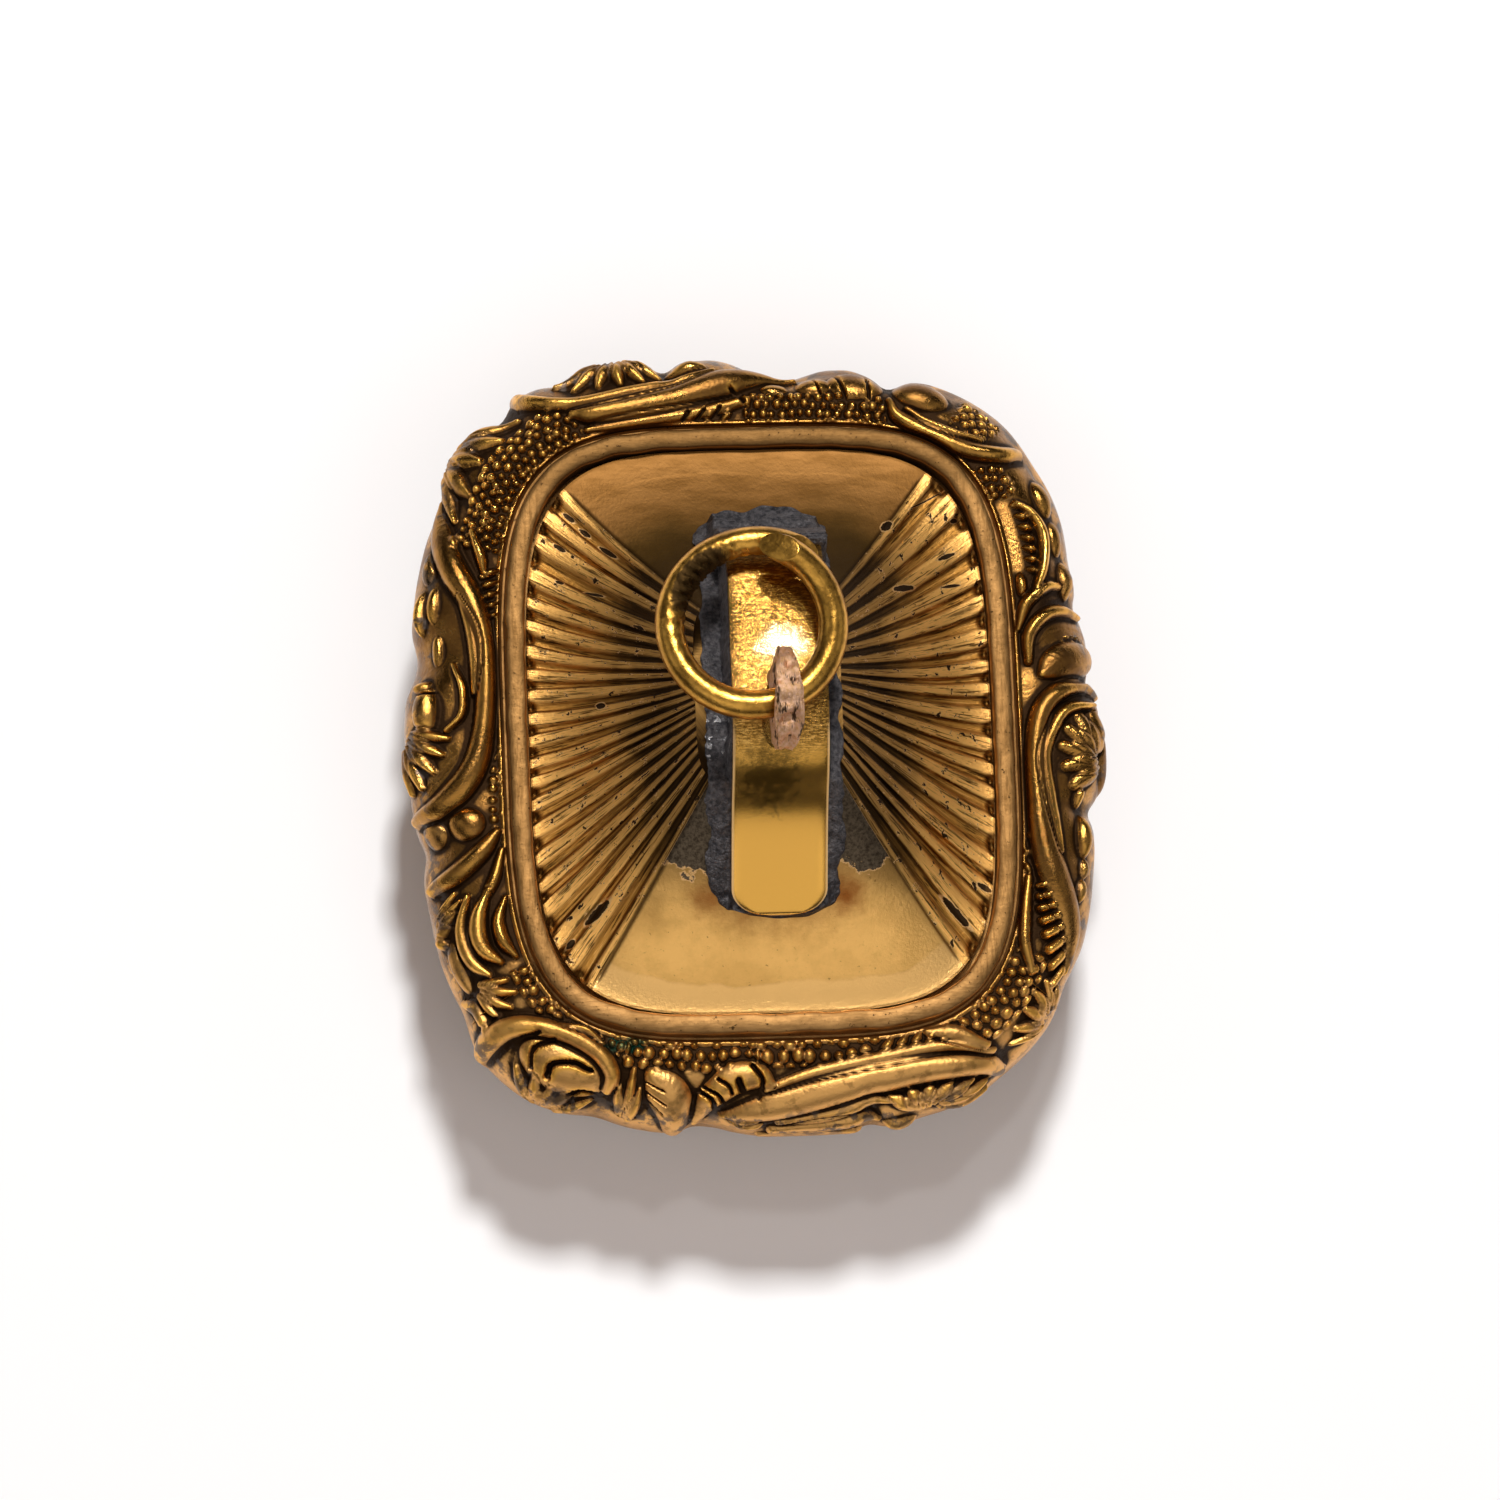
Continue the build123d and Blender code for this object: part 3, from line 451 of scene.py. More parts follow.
def loops_mesh(rings: list[np.ndarray], ends: Ends) -> bmesh.types.BMesh:
    """Band of quads that is extruded from loop to loop.

    Args:
        rings: for each loop an array of its points in millimetres, all of one length.
        ends: how the first and the last loop are closed.

    Returns:
        The closed mesh. Each vertex keeps its loop and its place in it as whole numbers.
    """
    bm = bmesh.new()
    loop_layer = bm.verts.layers.int.new("loop")
    place_layer = bm.verts.layers.int.new("place")
    made = bmesh.ops.create_circle(bm, cap_ends=False, segments=len(rings[0]), radius=1.0)
    for place, vert in enumerate(made["verts"]):
        vert[place_layer] = place
        vert.co = Vector(rings[0][place]) * MM
    first = edges = list(bm.edges)
    for loop, ring in enumerate(rings[1:], 1):
        grown = bmesh.ops.extrude_edge_only(bm, edges=edges)["geom"]
        verts = {item for item in grown if isinstance(item, bmesh.types.BMVert)}
        edges = [item for item in grown if isinstance(item, bmesh.types.BMEdge) and set(item.verts) <= verts]
        for vert in verts:
            vert[loop_layer] = loop
            vert.co = Vector(ring[vert[place_layer]]) * MM
    if ends is Ends.JOINED:
        bmesh.ops.bridge_loops(bm, edges=first + edges)
    else:
        bmesh.ops.contextual_create(bm, geom=first)
        bmesh.ops.contextual_create(bm, geom=edges)
    close_up(bm)
    return bm


def close_up(bm: bmesh.types.BMesh) -> None:
    """Cut wide faces into triangles and turn all faces of a closed mesh outward.

    Args:
        bm: the mesh, which is changed.
    """
    wide = [face for face in bm.faces if len(face.verts) > 4]
    bmesh.ops.triangulate(bm, faces=wide, ngon_method="EAR_CLIP")
    bmesh.ops.recalc_face_normals(bm, faces=bm.faces)
    if bm.calc_volume(signed=True) < 0:
        bmesh.ops.reverse_faces(bm, faces=bm.faces)


def piece_from(bm: bmesh.types.BMesh, name: str, sharp_angle: float) -> bpy.types.Object:
    """Object at the origin that shows a finished mesh, smooth but for its sharp edges.

    Args:
        bm: the finished mesh, which is freed.
        name: the piece's name.
        sharp_angle: edges that bend by more degrees than this stay sharp.

    Returns:
        The object, linked to the scene.
    """
    mesh = bpy.data.meshes.new(name)
    bm.to_mesh(mesh)
    bm.free()
    mesh.polygons.foreach_set("use_smooth", np.ones(len(mesh.polygons), bool))
    mesh.set_sharp_from_angle(angle=math.radians(sharp_angle))
    piece = bpy.data.objects.new(name, mesh)
    bpy.context.scene.collection.objects.link(piece)
    return piece


def lay(piece: bpy.types.Object, body: str, finish: bpy.types.Material) -> None:
    """Give a piece its finish and the body that it moves with.

    Args:
        piece: the finished piece.
        body: the body that it rides on.
        finish: its material.
    """
    piece.data.materials.append(finish)
    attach(piece, body)
    log.info("%s: %d faces on %s", piece.name, len(piece.data.polygons), body)


def place_numbers(piece: bpy.types.Object) -> tuple[np.ndarray, np.ndarray]:
    """Read where each vertex of a mesh made by loops_mesh lies.

    Args:
        piece: the piece.

    Returns:
        The number of the loop and the number of the place in it, for each vertex.
    """
    numbers = []
    for name in ("loop", "place"):
        values = np.zeros(len(piece.data.vertices), np.int32)
        piece.data.attributes[name].data.foreach_get("value", values)
        numbers.append(values)
    return numbers[0], numbers[1]


def note(piece: bpy.types.Object, name: str, values: np.ndarray) -> None:
    """Store one number a vertex for the material to read.

    Args:
        piece: the piece.
        name: the name that the material knows.
        values: the numbers, in the order of the vertices.
    """
    layer = piece.data.attributes.new(name=name, type="FLOAT", domain="POINT")
    layer.data.foreach_set("value", np.asarray(values, np.float32).ravel())


@dataclass
class Chasing:
    """Raised ornament of the border as a height over its plain moulding."""

    round_step: float
    across_step: float
    tongue: Stroke = Stroke(1.35, 0.5, 0.08, 0.25, 0.7, 0.03)
    rib: Stroke = Stroke(1.3, 1.0, 0.12, 0.2, 0.65, 0.04)
    groove_share: float = 0.35
    boss_fillet: float = 0.05
    boss_power: float = 0.6
    cut_margin: float = 0.4
    tongue_steps: int = 4
    rib_steps: int = 6
    cut_steps: int = 5
    row_ratio: float = 0.87
    bead_scatter: float = 0.34
    ground_edge: float = 0.12
    ornament_start: tuple[float, float] = (-0.5, 2.6)
    ornament_end: float = 70.0
    ornament_fade: float = 14.0
    swell_lift: float = 0.2
    swell_rise: tuple[float, float] = (12.0, 42.0)
    swell_fall: tuple[float, float] = (66.0, 96.0)
    wire_place: float = 1.3
    wire_height: float = 0.12

    def near(self, s: np.ndarray, t: np.ndarray, chain: np.ndarray, margin: float) -> np.ndarray:
        """Find the points that lie near a chain of places.

        Args:
            s: places round, in hundredths.
            t: places across, in hundredths.
            chain: the chain's places.
            margin: how far beside it a point may lie, in millimetres.

        Returns:
            The points' numbers.
        """
        middle = 0.5 * (chain[:, 0].min() + chain[:, 0].max())
        half = 0.5 * np.ptp(chain[:, 0]) + margin / self.round_step
        rise = margin / self.across_step
        inside = (t > chain[:, 1].min() - rise) & (t < chain[:, 1].max() + rise)
        return np.nonzero((np.abs(short_way(s - middle)) < half) & inside)[0]

    def stroke(self, s: np.ndarray, t: np.ndarray, chain: np.ndarray) -> tuple[np.ndarray, np.ndarray]:
        """How far inside a tapering stroke points lie, and its height beside them.

        Args:
            s: places round, in hundredths.
            t: places across, in hundredths.
            chain: the stroke's places, half widths and heights.

        Returns:
            1 on the stroke's line, 0 at its edge and less outside, and the height.
        """
        inside = np.full(s.shape, -9.0)
        height = np.zeros(s.shape)
        for a, b in zip(chain[:-1], chain[1:]):
            x, y = short_way(s - a[0]) * self.round_step, (t - a[1]) * self.across_step
            dx, dy = (b[0] - a[0]) * self.round_step, (b[1] - a[1]) * self.across_step
            share = np.clip((x * dx + y * dy) / (dx * dx + dy * dy + 1e-12), 0, 1)
            half = a[2] + (b[2] - a[2]) * share
            level = 1 - ((x - share * dx) ** 2 + (y - share * dy) ** 2) / half**2
            nearer = level > inside
            inside = np.where(nearer, level, inside)
            height = np.where(nearer, a[3] + (b[3] - a[3]) * share, height)
        return inside, height

    def blended(self, low: np.ndarray, high: np.ndarray, fillet: float) -> np.ndarray:
        """Larger of two heights, with a small fillet where they meet."""
        share = np.clip(0.5 + 0.5 * (low - high) / fillet, 0, 1)
        return high + (low - high) * share + fillet * share * (1 - share)

    def tongues(self) -> list[np.ndarray]:
        """Chains of all leaf tongues and gadroons."""
        chains = []
        for fan in FANS.values():
            for tip_s, tip_t in fan.tips:
                ds, dt = tip_s - fan.around, tip_t - fan.across
                # Columns: share of the way to the tip, half width, share of the height.
                shape = ((0.3, 0.8 * fan.root_half, 0.8), (0.6, fan.root_half, 1.0),
                         (1.0, fan.tip_half, 0.55))
                rows = [(fan.around + way * ds, fan.across + way * dt, half, fan.height * share)
                        for way, half, share in shape]
                chains.append(smooth_chain(rows, self.tongue_steps))
        for row in GADROON_ROWS.values():
            for s in np.linspace(row.first, row.last, row.count):
                # Columns: share of the lean, place across, share of the half width and height.
                shape = ((0.0, row.base, 0.7), (0.55, 0.5 * (row.base + row.tip), 1.0), (1.0, row.tip, 0.5))
                rows = [(s + lean * row.lean, t, row.half * share, row.height * share)
                        for lean, t, share in shape]
                chains.append(smooth_chain(rows, self.tongue_steps))
        return chains + self.shell_tongues()

    def shell_tongues(self, count: int = 8) -> list[np.ndarray]:
        """Chains of the curved row of tongues in the front right shell.

        Args:
            count: how many tongues the row has.

        Returns:
            The chains.
        """
        chains = []
        for share in np.linspace(0, 1, count):
            s, t, turn = 13.0 + 3.8 * share, 10 + 22 * (1 - share) ** 2.2, 1 - share
            rows = [(s, t, .15, .36), (s + .25 + .35 * turn, t + 4 + 5 * share, .165, .36),
                    (s + .5 + .4 * turn, t + 6 + 9 * share, .075, .15)]
            chains.append(smooth_chain(rows, self.tongue_steps))
        return chains

    def beads(self, ground: Ground, s: np.ndarray, t: np.ndarray) -> np.ndarray:
        """Height of one beaded ground at points near it.

        Args:
            ground: the ground's row of the table.
            s: places round, in hundredths.
            t: places across, in hundredths.

        Returns:
            The height at each point.
        """
        middle, half = 0.5 * (ground.first + ground.last), 0.5 * (ground.last - ground.first)
        u = short_way(s - middle) * self.round_step
        v = (t - ground.low) * self.across_step
        depth = (ground.high - ground.low) * self.across_step
        edge = np.minimum(half * self.round_step - np.abs(u), np.minimum(v, depth - v))
        row_step = ground.pitch * self.row_ratio
        height = np.zeros(s.shape)
        for side_row in (-1, 0, 1):
            row = np.floor(v / row_step) + side_row
            offset = (row % 2) * 0.5
            for side_column in (0, 1):
                column = np.floor(u / ground.pitch - offset) + side_column
                stray_u, stray_v = (self.bead_scatter * (hashed(column, row, salt) - 0.5)
                                    for salt in (1.0, 2.0))
                middle_u = (column + offset + stray_u) * ground.pitch
                middle_v = (row + stray_v) * row_step
                size = ground.bead * (0.75 + 0.45 * hashed(column, row, 3.0))
                dome = np.sqrt(np.clip(1 - ((u - middle_u) ** 2 + (v - middle_v) ** 2) / size**2, 0, 1))
                height = np.maximum(height, dome * ground.height * (0.75 + 0.5 * hashed(column, row, 4.0)))
        return height * np.clip(edge / self.ground_edge + 0.5, 0, 1)

    def swell(self, around: np.ndarray, across: np.ndarray) -> np.ndarray:
        """Outward swell of the moulding's widest part.

        Args:
            around: places round, in hundredths.
            across: places across, in hundredths.

        Returns:
            The swell in millimetres.
        """
        table = np.array(SWELL)
        s = np.concatenate([table[-3:, 0] - 100, table[:, 0], table[:3, 0] + 100])
        out = np.concatenate([table[-3:, 1], table[:, 1], table[:3, 1]])
        level = sum(np.interp(around + k, s, out) for k in (-0.3, -0.1, 0.1, 0.3)) / 4
        rise, fall = ease(across, *self.swell_rise), ease(across, *self.swell_fall)
        return (level + self.swell_lift) * rise * (1 - fall)

    def raised(self, h: np.ndarray, s: np.ndarray, t: np.ndarray, chain: np.ndarray, form: Stroke) -> None:
        """Lay one raised stroke on the ornament, with a groove beside it.

        Args:
            h: height of the ornament, which is changed.
            s: places round, in hundredths.
            t: places across, in hundredths.
            chain: the stroke's places, half widths and heights.
            form: the stroke's form.
        """
        chain[:, 2] *= form.wide
        at = self.near(s, t, chain, form.margin)
        inside, height = self.stroke(s[at], t[at], chain)
        h[at] -= form.groove * np.clip(1 - np.abs(inside + form.groove_at) / self.groove_share, 0, 1)
        h[at] = self.blended(h[at], np.clip(inside, 0, 1) ** form.power * height, form.fillet)

    def height(self, around: np.ndarray, across: np.ndarray) -> np.ndarray:
        """Height of the whole ornament.

        Args:
            around: places round, in hundredths.
            across: places across, in hundredths.

        Returns:
            The height at each place in millimetres.
        """
        shape = around.shape
        s, t = around.ravel(), across.ravel()
        h = np.zeros(s.shape)
        for ground in GROUNDS.values():
            middle, half = 0.5 * (ground.first + ground.last), 0.5 * (ground.last - ground.first)
            beside = np.abs(short_way(s - middle)) < half + 0.3
            at = np.nonzero(beside & (t > ground.low - 3) & (t < ground.high + 3))[0]
            h[at] = np.maximum(h[at], self.beads(ground, s[at], t[at]))
        for boss_s, boss_t, half_s, half_t, lift in BOSSES:
            dome = 1 - (short_way(s - boss_s) / half_s) ** 2 - ((t - boss_t) / half_t) ** 2
            lump = np.clip(dome, 0, 1) ** self.boss_power * lift
            h = np.where(dome > -0.5, self.blended(h, lump, self.boss_fillet), h)
        for chain in self.tongues():
            self.raised(h, s, t, chain, self.tongue)
        for rows in RIBS.values():
            self.raised(h, s, t, smooth_chain(list(rows), self.rib_steps), self.rib)
        for half, depth, places in CUTS:
            chain = smooth_chain([(*place, half, depth) for place in places], self.cut_steps)
            at = self.near(s, t, chain, self.cut_margin)
            inside, cut = self.stroke(s[at], t[at], chain)
            h[at] -= np.clip(inside, 0, 1) ** self.boss_power * cut
        wire = np.clip(1 - ((t - self.wire_place) / self.wire_place) ** 2, 0, 1) ** 0.5 * self.wire_height
        kept = np.clip((self.ornament_end - t) / self.ornament_fade, 0, 1) * ease(t, *self.ornament_start)
        return (np.maximum(h * kept, wire) + self.swell(s, t)).reshape(shape)


def pressed_into(values: np.ndarray, low: float, high: float, knee: float = 0.15) -> np.ndarray:
    """Coordinates that are pressed softly into two limits.

    Args:
        values: the coordinates.
        low: least value that the result reaches.
        high: greatest value that the result reaches.
        knee: how far inside a limit the pressing starts.

    Returns:
        The pressed coordinates.
    """
    past_high = np.clip(values - (high - knee), 0, None)
    past_low = np.clip((low + knee) - values, 0, None)
    kept = np.clip(values, low + knee, high - knee)
    return kept + knee * (np.exp(-past_low / knee) - np.exp(-past_high / knee))


def averaged(values: np.ndarray, reach: int) -> np.ndarray:
    """Field averaged over a soft square window, closing round the border.

    Args:
        values: numbers by column round the border and row across it.
        reach: how many columns and rows the window reaches each way.

    Returns:
        The averaged field.
    """
    weights = np.hanning(2 * reach + 3)[1:-1]
    weights /= weights.sum()
    shifts = range(-reach, reach + 1)
    round_soft = sum(weight * np.roll(values, shift, axis=0) for weight, shift in zip(weights, shifts))
    padded = np.pad(round_soft, ((0, 0), (reach, reach)), mode="edge")
    rows = values.shape[1]
    return sum(weight * padded[:, reach + shift:reach + shift + rows]
               for weight, shift in zip(weights, shifts))


@dataclass
class Border:
    """Cast and chased border with its rim, neck and collet."""

    rim: Rim
    groove_level: float
    finish: bpy.types.Material
    plain_finish: bpy.types.Material
    moulding_out: float = 2.5
    moulding_half_height: float = 2.3
    moulding_set: float = 0.6
    moulding_start: float = 100.0
    moulding_end: float = -60.0
    bead_width: float = 0.74
    bead_height: float = 0.55
    quarters: int = 4
    quarter_columns: int = 400
    rows: int = 136
    seam_shift: float = 0.125
    frame_columns: int = 480
    box_margin: float = 0.005
    fine_reach: int = 6
    fine_depth: float = 0.1
    wide_reach: tuple[int, int] = (12, 8)
    wide_depth: float = 0.16
    rim_wander: float = 0.018
    rim_sag: float = 0.022

    @property
    def moulding_level(self) -> float:
        """Level of the middle of the moulding."""
        return self.groove_level - self.moulding_half_height * math.sin(math.radians(self.moulding_start))

    def moulding_point(self, across: np.ndarray, lift: np.ndarray) -> tuple[np.ndarray, np.ndarray]:
        """Place of the moulding's surface, seen in its section.

        Args:
            across: places across, in hundredths.
            lift: height of the ornament there.

        Returns:
            The distance outside the rim and the level.
        """
        angle = np.radians(self.moulding_start + (self.moulding_end - self.moulding_start) * across / 100)
        out = self.moulding_set + (self.moulding_out + lift) * np.cos(angle)
        return out, self.moulding_level + (self.moulding_half_height + lift) * np.sin(angle)

    def surface(self) -> tuple[np.ndarray, np.ndarray, np.ndarray]:
        """Chased surface over the whole border.

        Returns:
            Points by column and row, the height of the ornament there, and the outward normals.
        """
        columns = self.quarters * self.quarter_columns
        shares = (np.arange(columns) / columns + self.seam_shift) % 1.0
        around, across = np.meshgrid(shares * 100, np.linspace(0, 100, self.rows + 1), indexing="ij")
        points, normals = self.rim.stations(shares)
        arc = math.radians(self.moulding_start - self.moulding_end)
        walked = np.hypot(*(np.roll(points, -1, 0) - points).T).sum()
        chasing = Chasing(
            round_step=(walked + 2 * math.pi * (self.moulding_set + self.moulding_out / 3)) / 100,
            across_step=arc * (self.moulding_out + self.moulding_half_height) / 2 / 100,
        )
        height = chasing.height(around, across)
        out, level = self.moulding_point(across, height)
        flat = points[:, None, :] + normals[:, None, :] * out[..., None]
        low, high = (np.array(corner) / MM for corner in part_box("border"))
        low, high = low + self.box_margin, high - self.box_margin
        for axis in (0, 1):
            flat[..., axis] = pressed_into(flat[..., axis], low[axis], high[axis])
        spots = np.concatenate([flat, level[..., None]], -1)
        ahead = np.roll(spots, -1, 0) - np.roll(spots, 1, 0)
        beside = np.gradient(spots, axis=1)
        facing = np.cross(ahead, beside)
        facing /= np.linalg.norm(facing, axis=-1)[..., None]
        if (facing[..., :2] * normals[:, None, :]).sum() < 0:
            facing = -facing
        return spots, height, facing

    def quarter(self, number: int, spots: np.ndarray, facing: np.ndarray,
                notes: dict[str, np.ndarray]) -> None:
        """Build one quarter of the chased moulding as a closed piece.

        Args:
            number: which quarter, from 0.
            spots: points of the whole surface.
            facing: its outward normals.
            notes: numbers for the finish, by name.
        """
        columns = self.quarter_columns
        bm = bmesh.new()
        bmesh.ops.create_grid(bm, x_segments=columns, y_segments=self.rows, size=0.5)
        long_edges = [edge for edge in bm.edges if edge.is_boundary
                      and abs(edge.verts[0].co.y) > 0.499 and abs(edge.verts[1].co.y) > 0.499]
        bmesh.ops.bridge_loops(bm, edges=long_edges)
        bmesh.ops.holes_fill(bm, edges=[edge for edge in bm.edges if edge.is_boundary], sides=0)
        take = (np.arange(columns + 1) + number * columns) % len(spots)
        placed = spots[take].transpose(1, 0, 2).reshape(-1, 3)
        bm.verts.ensure_lookup_table()
        for vert, spot in zip(bm.verts, placed):
            vert.co = Vector(spot) * MM
        close_up(bm)
        piece = piece_from(bm, f"chased_moulding_{number + 1}", 180)
        mesh = piece.data
        owner = np.zeros(len(mesh.loops), np.int32)
        mesh.loops.foreach_get("vertex_index", owner)
        chased_loops = columns * self.rows * 4
        shading = np.zeros((len(mesh.loops), 3))
        shading[:chased_loops] = facing[take].transpose(1, 0, 2).reshape(-1, 3)[owner[:chased_loops]]
        mesh.normals_split_custom_set(shading.tolist())
        for name, values in notes.items():
            note(piece, name, values[take].T)
        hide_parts("border")
        lay(piece, "body", self.finish)

    def build_moulding(self) -> None:
        """Build the chased moulding, quarter by quarter."""
        spots, height, facing = self.surface()
        soft = averaged(height, self.fine_reach)
        wide = averaged(averaged(height, self.wide_reach[0]), self.wide_reach[1])
        # hollow and deep darken the finish in recesses, as tarnish with painted shade; crest lightens the
        # crests.
        notes = {
            "crest": np.clip((height - soft) / self.fine_depth, 0, 1),
            "hollow": np.clip((soft - height) / self.fine_depth, 0, 1),
            "deep": np.clip((wide - averaged(height, 2)) / self.wide_depth, 0, 1),
            "across": np.broadcast_to(np.linspace(0, 1, self.rows + 1), height.shape),
        }
        for number in range(self.quarters):
            self.quarter(number, spots, facing, notes)

    def section(self) -> list[tuple[float, float]]:
        """Section of the plain part, from under the moulding round the foot and up to the rim."""
        low_out, low_level = self.moulding_point(np.array(100.0), np.array(0.0))
        start_out, start_level = self.moulding_point(np.array(0.0), np.array(0.0))
        bead = [(self.bead_width * out, self.groove_level + self.bead_height * up)
                for out, up in BEAD_SECTION]
        section = [(float(low_out), float(low_level)), *FOOT_SECTION, *bead]
        section.append((float(start_out), float(start_level)))
        return section

    def build_frame(self) -> None:
        """Build the rim, the inner ledge, the neck and the collet as one piece."""
        shares = np.arange(self.frame_columns) / self.frame_columns
        points, normals = self.rim.stations(shares)
        wander = drifting(shares, 60, 3) * self.rim_wander
        rings = []
        for out, level in self.section():
            on_rim = float(level > self.groove_level + 0.1)
            flat = points + normals * (out + wander[:, None] * on_rim)
            sag = drifting(shares, 24, 5) * self.rim_sag * on_rim
            rings.append(np.column_stack([flat, level + sag]))
        piece = piece_from(loops_mesh(rings, Ends.JOINED), "rim_and_collet", 40)
        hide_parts("border")
        lay(piece, "body", self.plain_finish)

    def build(self) -> None:
        """Build all pieces of the border."""
        self.build_moulding()
        self.build_frame()


@dataclass
class FlutedCap:
    """Hollow cap with plain panels at front and back and a fluted fan on each side."""

    rim: Rim
    level: float
    rise: float
    finish: bpy.types.Material
    hollow: float = 1.5
    thickness: float = 0.5
    edge_inset: float = 0.79
    stem_width: float = 5.2
    stem_length: float = 6.6
    stem_shift: float = 0.5
    stem_squareness: float = 6.0
    flute_depth: float = 0.24
    scallop: float = 0.06
    pocket_reach: float = 0.048
    pocket_depth: float = 0.16
    right_fan: tuple[float, float, int] = (-51.7, 55.8, 16)
    left_fan: tuple[float, float, int] = (126.7, 235.6, 20)
    flute_columns: int = 18
    panel_columns: int = 72
    hip_crowding: float = 0.85
    crease_half: float = 0.07
    crease_depth: float = 0.07
    rows: int = 62
    row_crowding: float = 0.35
    waver: float = 0.2
    wall_shares: tuple[float, ...] = (0.0, 0.35, 0.7, 1.0)

    def angles(self) -> np.ndarray:
        """Directions of the cap's columns, from the front middle's left panel edge on."""
        spans = ((self.left_fan[1] - 360, self.right_fan[0], self.panel_columns),
                 (self.right_fan[0], self.right_fan[1], self.right_fan[2] * self.flute_columns),
                 (self.right_fan[1], self.left_fan[0], self.panel_columns),
                 (self.left_fan[0], self.left_fan[1], self.left_fan[2] * self.flute_columns))
        sides = []
        for first, last, count in spans:
            place = np.arange(count) / count
            if count == self.panel_columns:
                place = place - self.hip_crowding * np.sin(2 * np.pi * place) / (2 * np.pi)
            sides.append(first + (last - first) * place)
        return np.concatenate(sides)

    def flute_place(self, angles: np.ndarray, share: float) -> tuple[np.ndarray, np.ndarray]:
        """Place across the flute, from 0 to 1, and whether a direction lies in a fan at all.

        Args:
            angles: directions in degrees.
            share: how far up the cap, because hand-cut flutes waver a little.

        Returns:
            The place across the flute and 1 in a fan or 0 on a panel.
        """
        place, fluted = np.zeros(angles.shape), np.zeros(angles.shape)
        for seed, (first, last, count) in enumerate((self.right_fan, self.left_fan)):
            share_of_fan = (angles - first) / (last - first)
            inside = (share_of_fan >= 0) & (share_of_fan <= 1)
            draw = np.random.default_rng(40 + seed)
            knots = np.arange(count + 1)
            free = (knots > 0) & (knots < count)
            uneven = knots + np.where(free, draw.uniform(-self.waver, self.waver, count + 1), 0)
            bend = np.where(free, draw.uniform(-self.waver, self.waver, count + 1), 0)
            edges = uneven + bend * share * (1 - share) * 4
            along = np.interp(share_of_fan * count, edges, knots)
            place = np.where(inside, along % 1.0, place)
            fluted = np.where(inside, 1.0, fluted)
        return place, fluted

    def valley(self, place: np.ndarray) -> np.ndarray:
        """Depth across one flute as a share: a rounded rib, a gentle slope and a steeper wall."""
        channel = ease(place, 0.2, 0.5) - ease(place, 0.62, 0.76)
        return 0.84 * channel + 0.16 * np.sin(np.pi * place) ** 2

    def pocket(self, place: np.ndarray, share: float) -> np.ndarray:
        """Half-moon hollow at the outer end of one flute, 1 in its middle and 0 outside it."""
        return np.sqrt(np.clip(1 - ((place - 0.52) / 0.28) ** 2 - (share / self.pocket_reach) ** 2, 0, 1))

    def cap_ring(self, angles: np.ndarray, share: float) -> tuple[np.ndarray, dict[str, np.ndarray]]:
        """One loop of the cap's face, and the numbers that its finish reads.

        Args:
            angles: directions in degrees.
            share: 0 at the rim and 1 at the stem.

        Returns:
            The loop's points and the numbers by name.
        """
        edge = self.rim.outline(self.edge_inset, angles)
        stem = cushion(self.stem_width / 2, self.stem_length / 2, self.stem_squareness, angles)
        stem = stem + (0, self.stem_shift)
        flat = edge + (stem - edge) * share
        place, fluted = self.flute_place(angles, share)
        valley = self.valley(place) * fluted
        scooped = ease(share, 0.004, 0.012 + self.scallop * (1 - np.sin(np.pi * place)) ** 0.8)
        shallow = (0.62 + 0.38 * ease(share, 0.05, 0.4)) * (1 - 0.5 * ease(share, 0.55, 1.0))
        pocket = self.pocket(place, share) * fluted
        depth = self.flute_depth * valley * scooped * shallow + self.pocket_depth * pocket
        hips = np.array([*self.right_fan[:2], self.left_fan[0], self.left_fan[1] - 360, self.left_fan[1]])
        reach = np.linalg.norm(flat - (0, self.stem_shift * share), axis=1)
        off_hip = np.abs(angles[:, None] - hips).min(1) * np.pi / 180 * reach
        crease = np.exp(-((off_hip / self.crease_half) ** 2)) * ease(share, 0.0, 0.1)
        low = self.level + self.rise * share**self.hollow
        level = low - depth - self.crease_depth * crease
        # notch, crease and step tell the finish where to paint shade: in the pockets, along the hips and on
        # the flutes' steep walls.
        notes = {
            "valley": valley * (0.35 + 0.65 * scooped),
            "notch": pocket * (1 - ease(place, 0.5, 0.66)),
            "climb": np.full(angles.shape, share),
            "crease": crease,
            "step": np.exp(-(((place - 0.69) / 0.06) ** 2)) * fluted,
            "fluted": fluted,
        }
        return np.column_stack([flat, level]), notes

    def build(self) -> None:
        """Build the cap as one closed shell."""
        angles = self.angles()
        even = np.linspace(0, 1, self.rows + 1)
        shares = 1 - ease(even, 0, 1) * self.row_crowding - even * (1 - self.row_crowding)
        shares = np.clip(shares, 0, 1)
        rings, noted = [], []
        for share in shares:
            ring, notes = self.cap_ring(angles, float(share))
            rings.append(ring)
            noted.append(notes)
        plain = np.zeros_like(angles)
        for share in self.wall_shares:
            ring, notes = self.cap_ring(angles, share)
            ring[:, 2] = self.level + self.rise * share**self.hollow - self.thickness
            rings.append(ring)
            noted.append({name: plain for name in notes})
        piece = piece_from(loops_mesh(rings, Ends.CAPPED), "fluted_cap", 50)
        loop, place = place_numbers(piece)
        for name in noted[0]:
            note(piece, name, np.array([values[name] for values in noted])[loop, place])
        uv = piece.data.uv_layers.new(name="along")
        owner = np.zeros(len(piece.data.loops), np.int32)
        piece.data.loops.foreach_get("vertex_index", owner)
        walk = np.concatenate([shares, np.zeros(len(self.wall_shares))])
        spread = np.stack([place[owner] / len(angles), walk[loop[owner]]], 1)
        uv.data.foreach_set("uv", spread.astype(np.float32).ravel())
        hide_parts("top_plate")
        lay(piece, "body", self.finish)

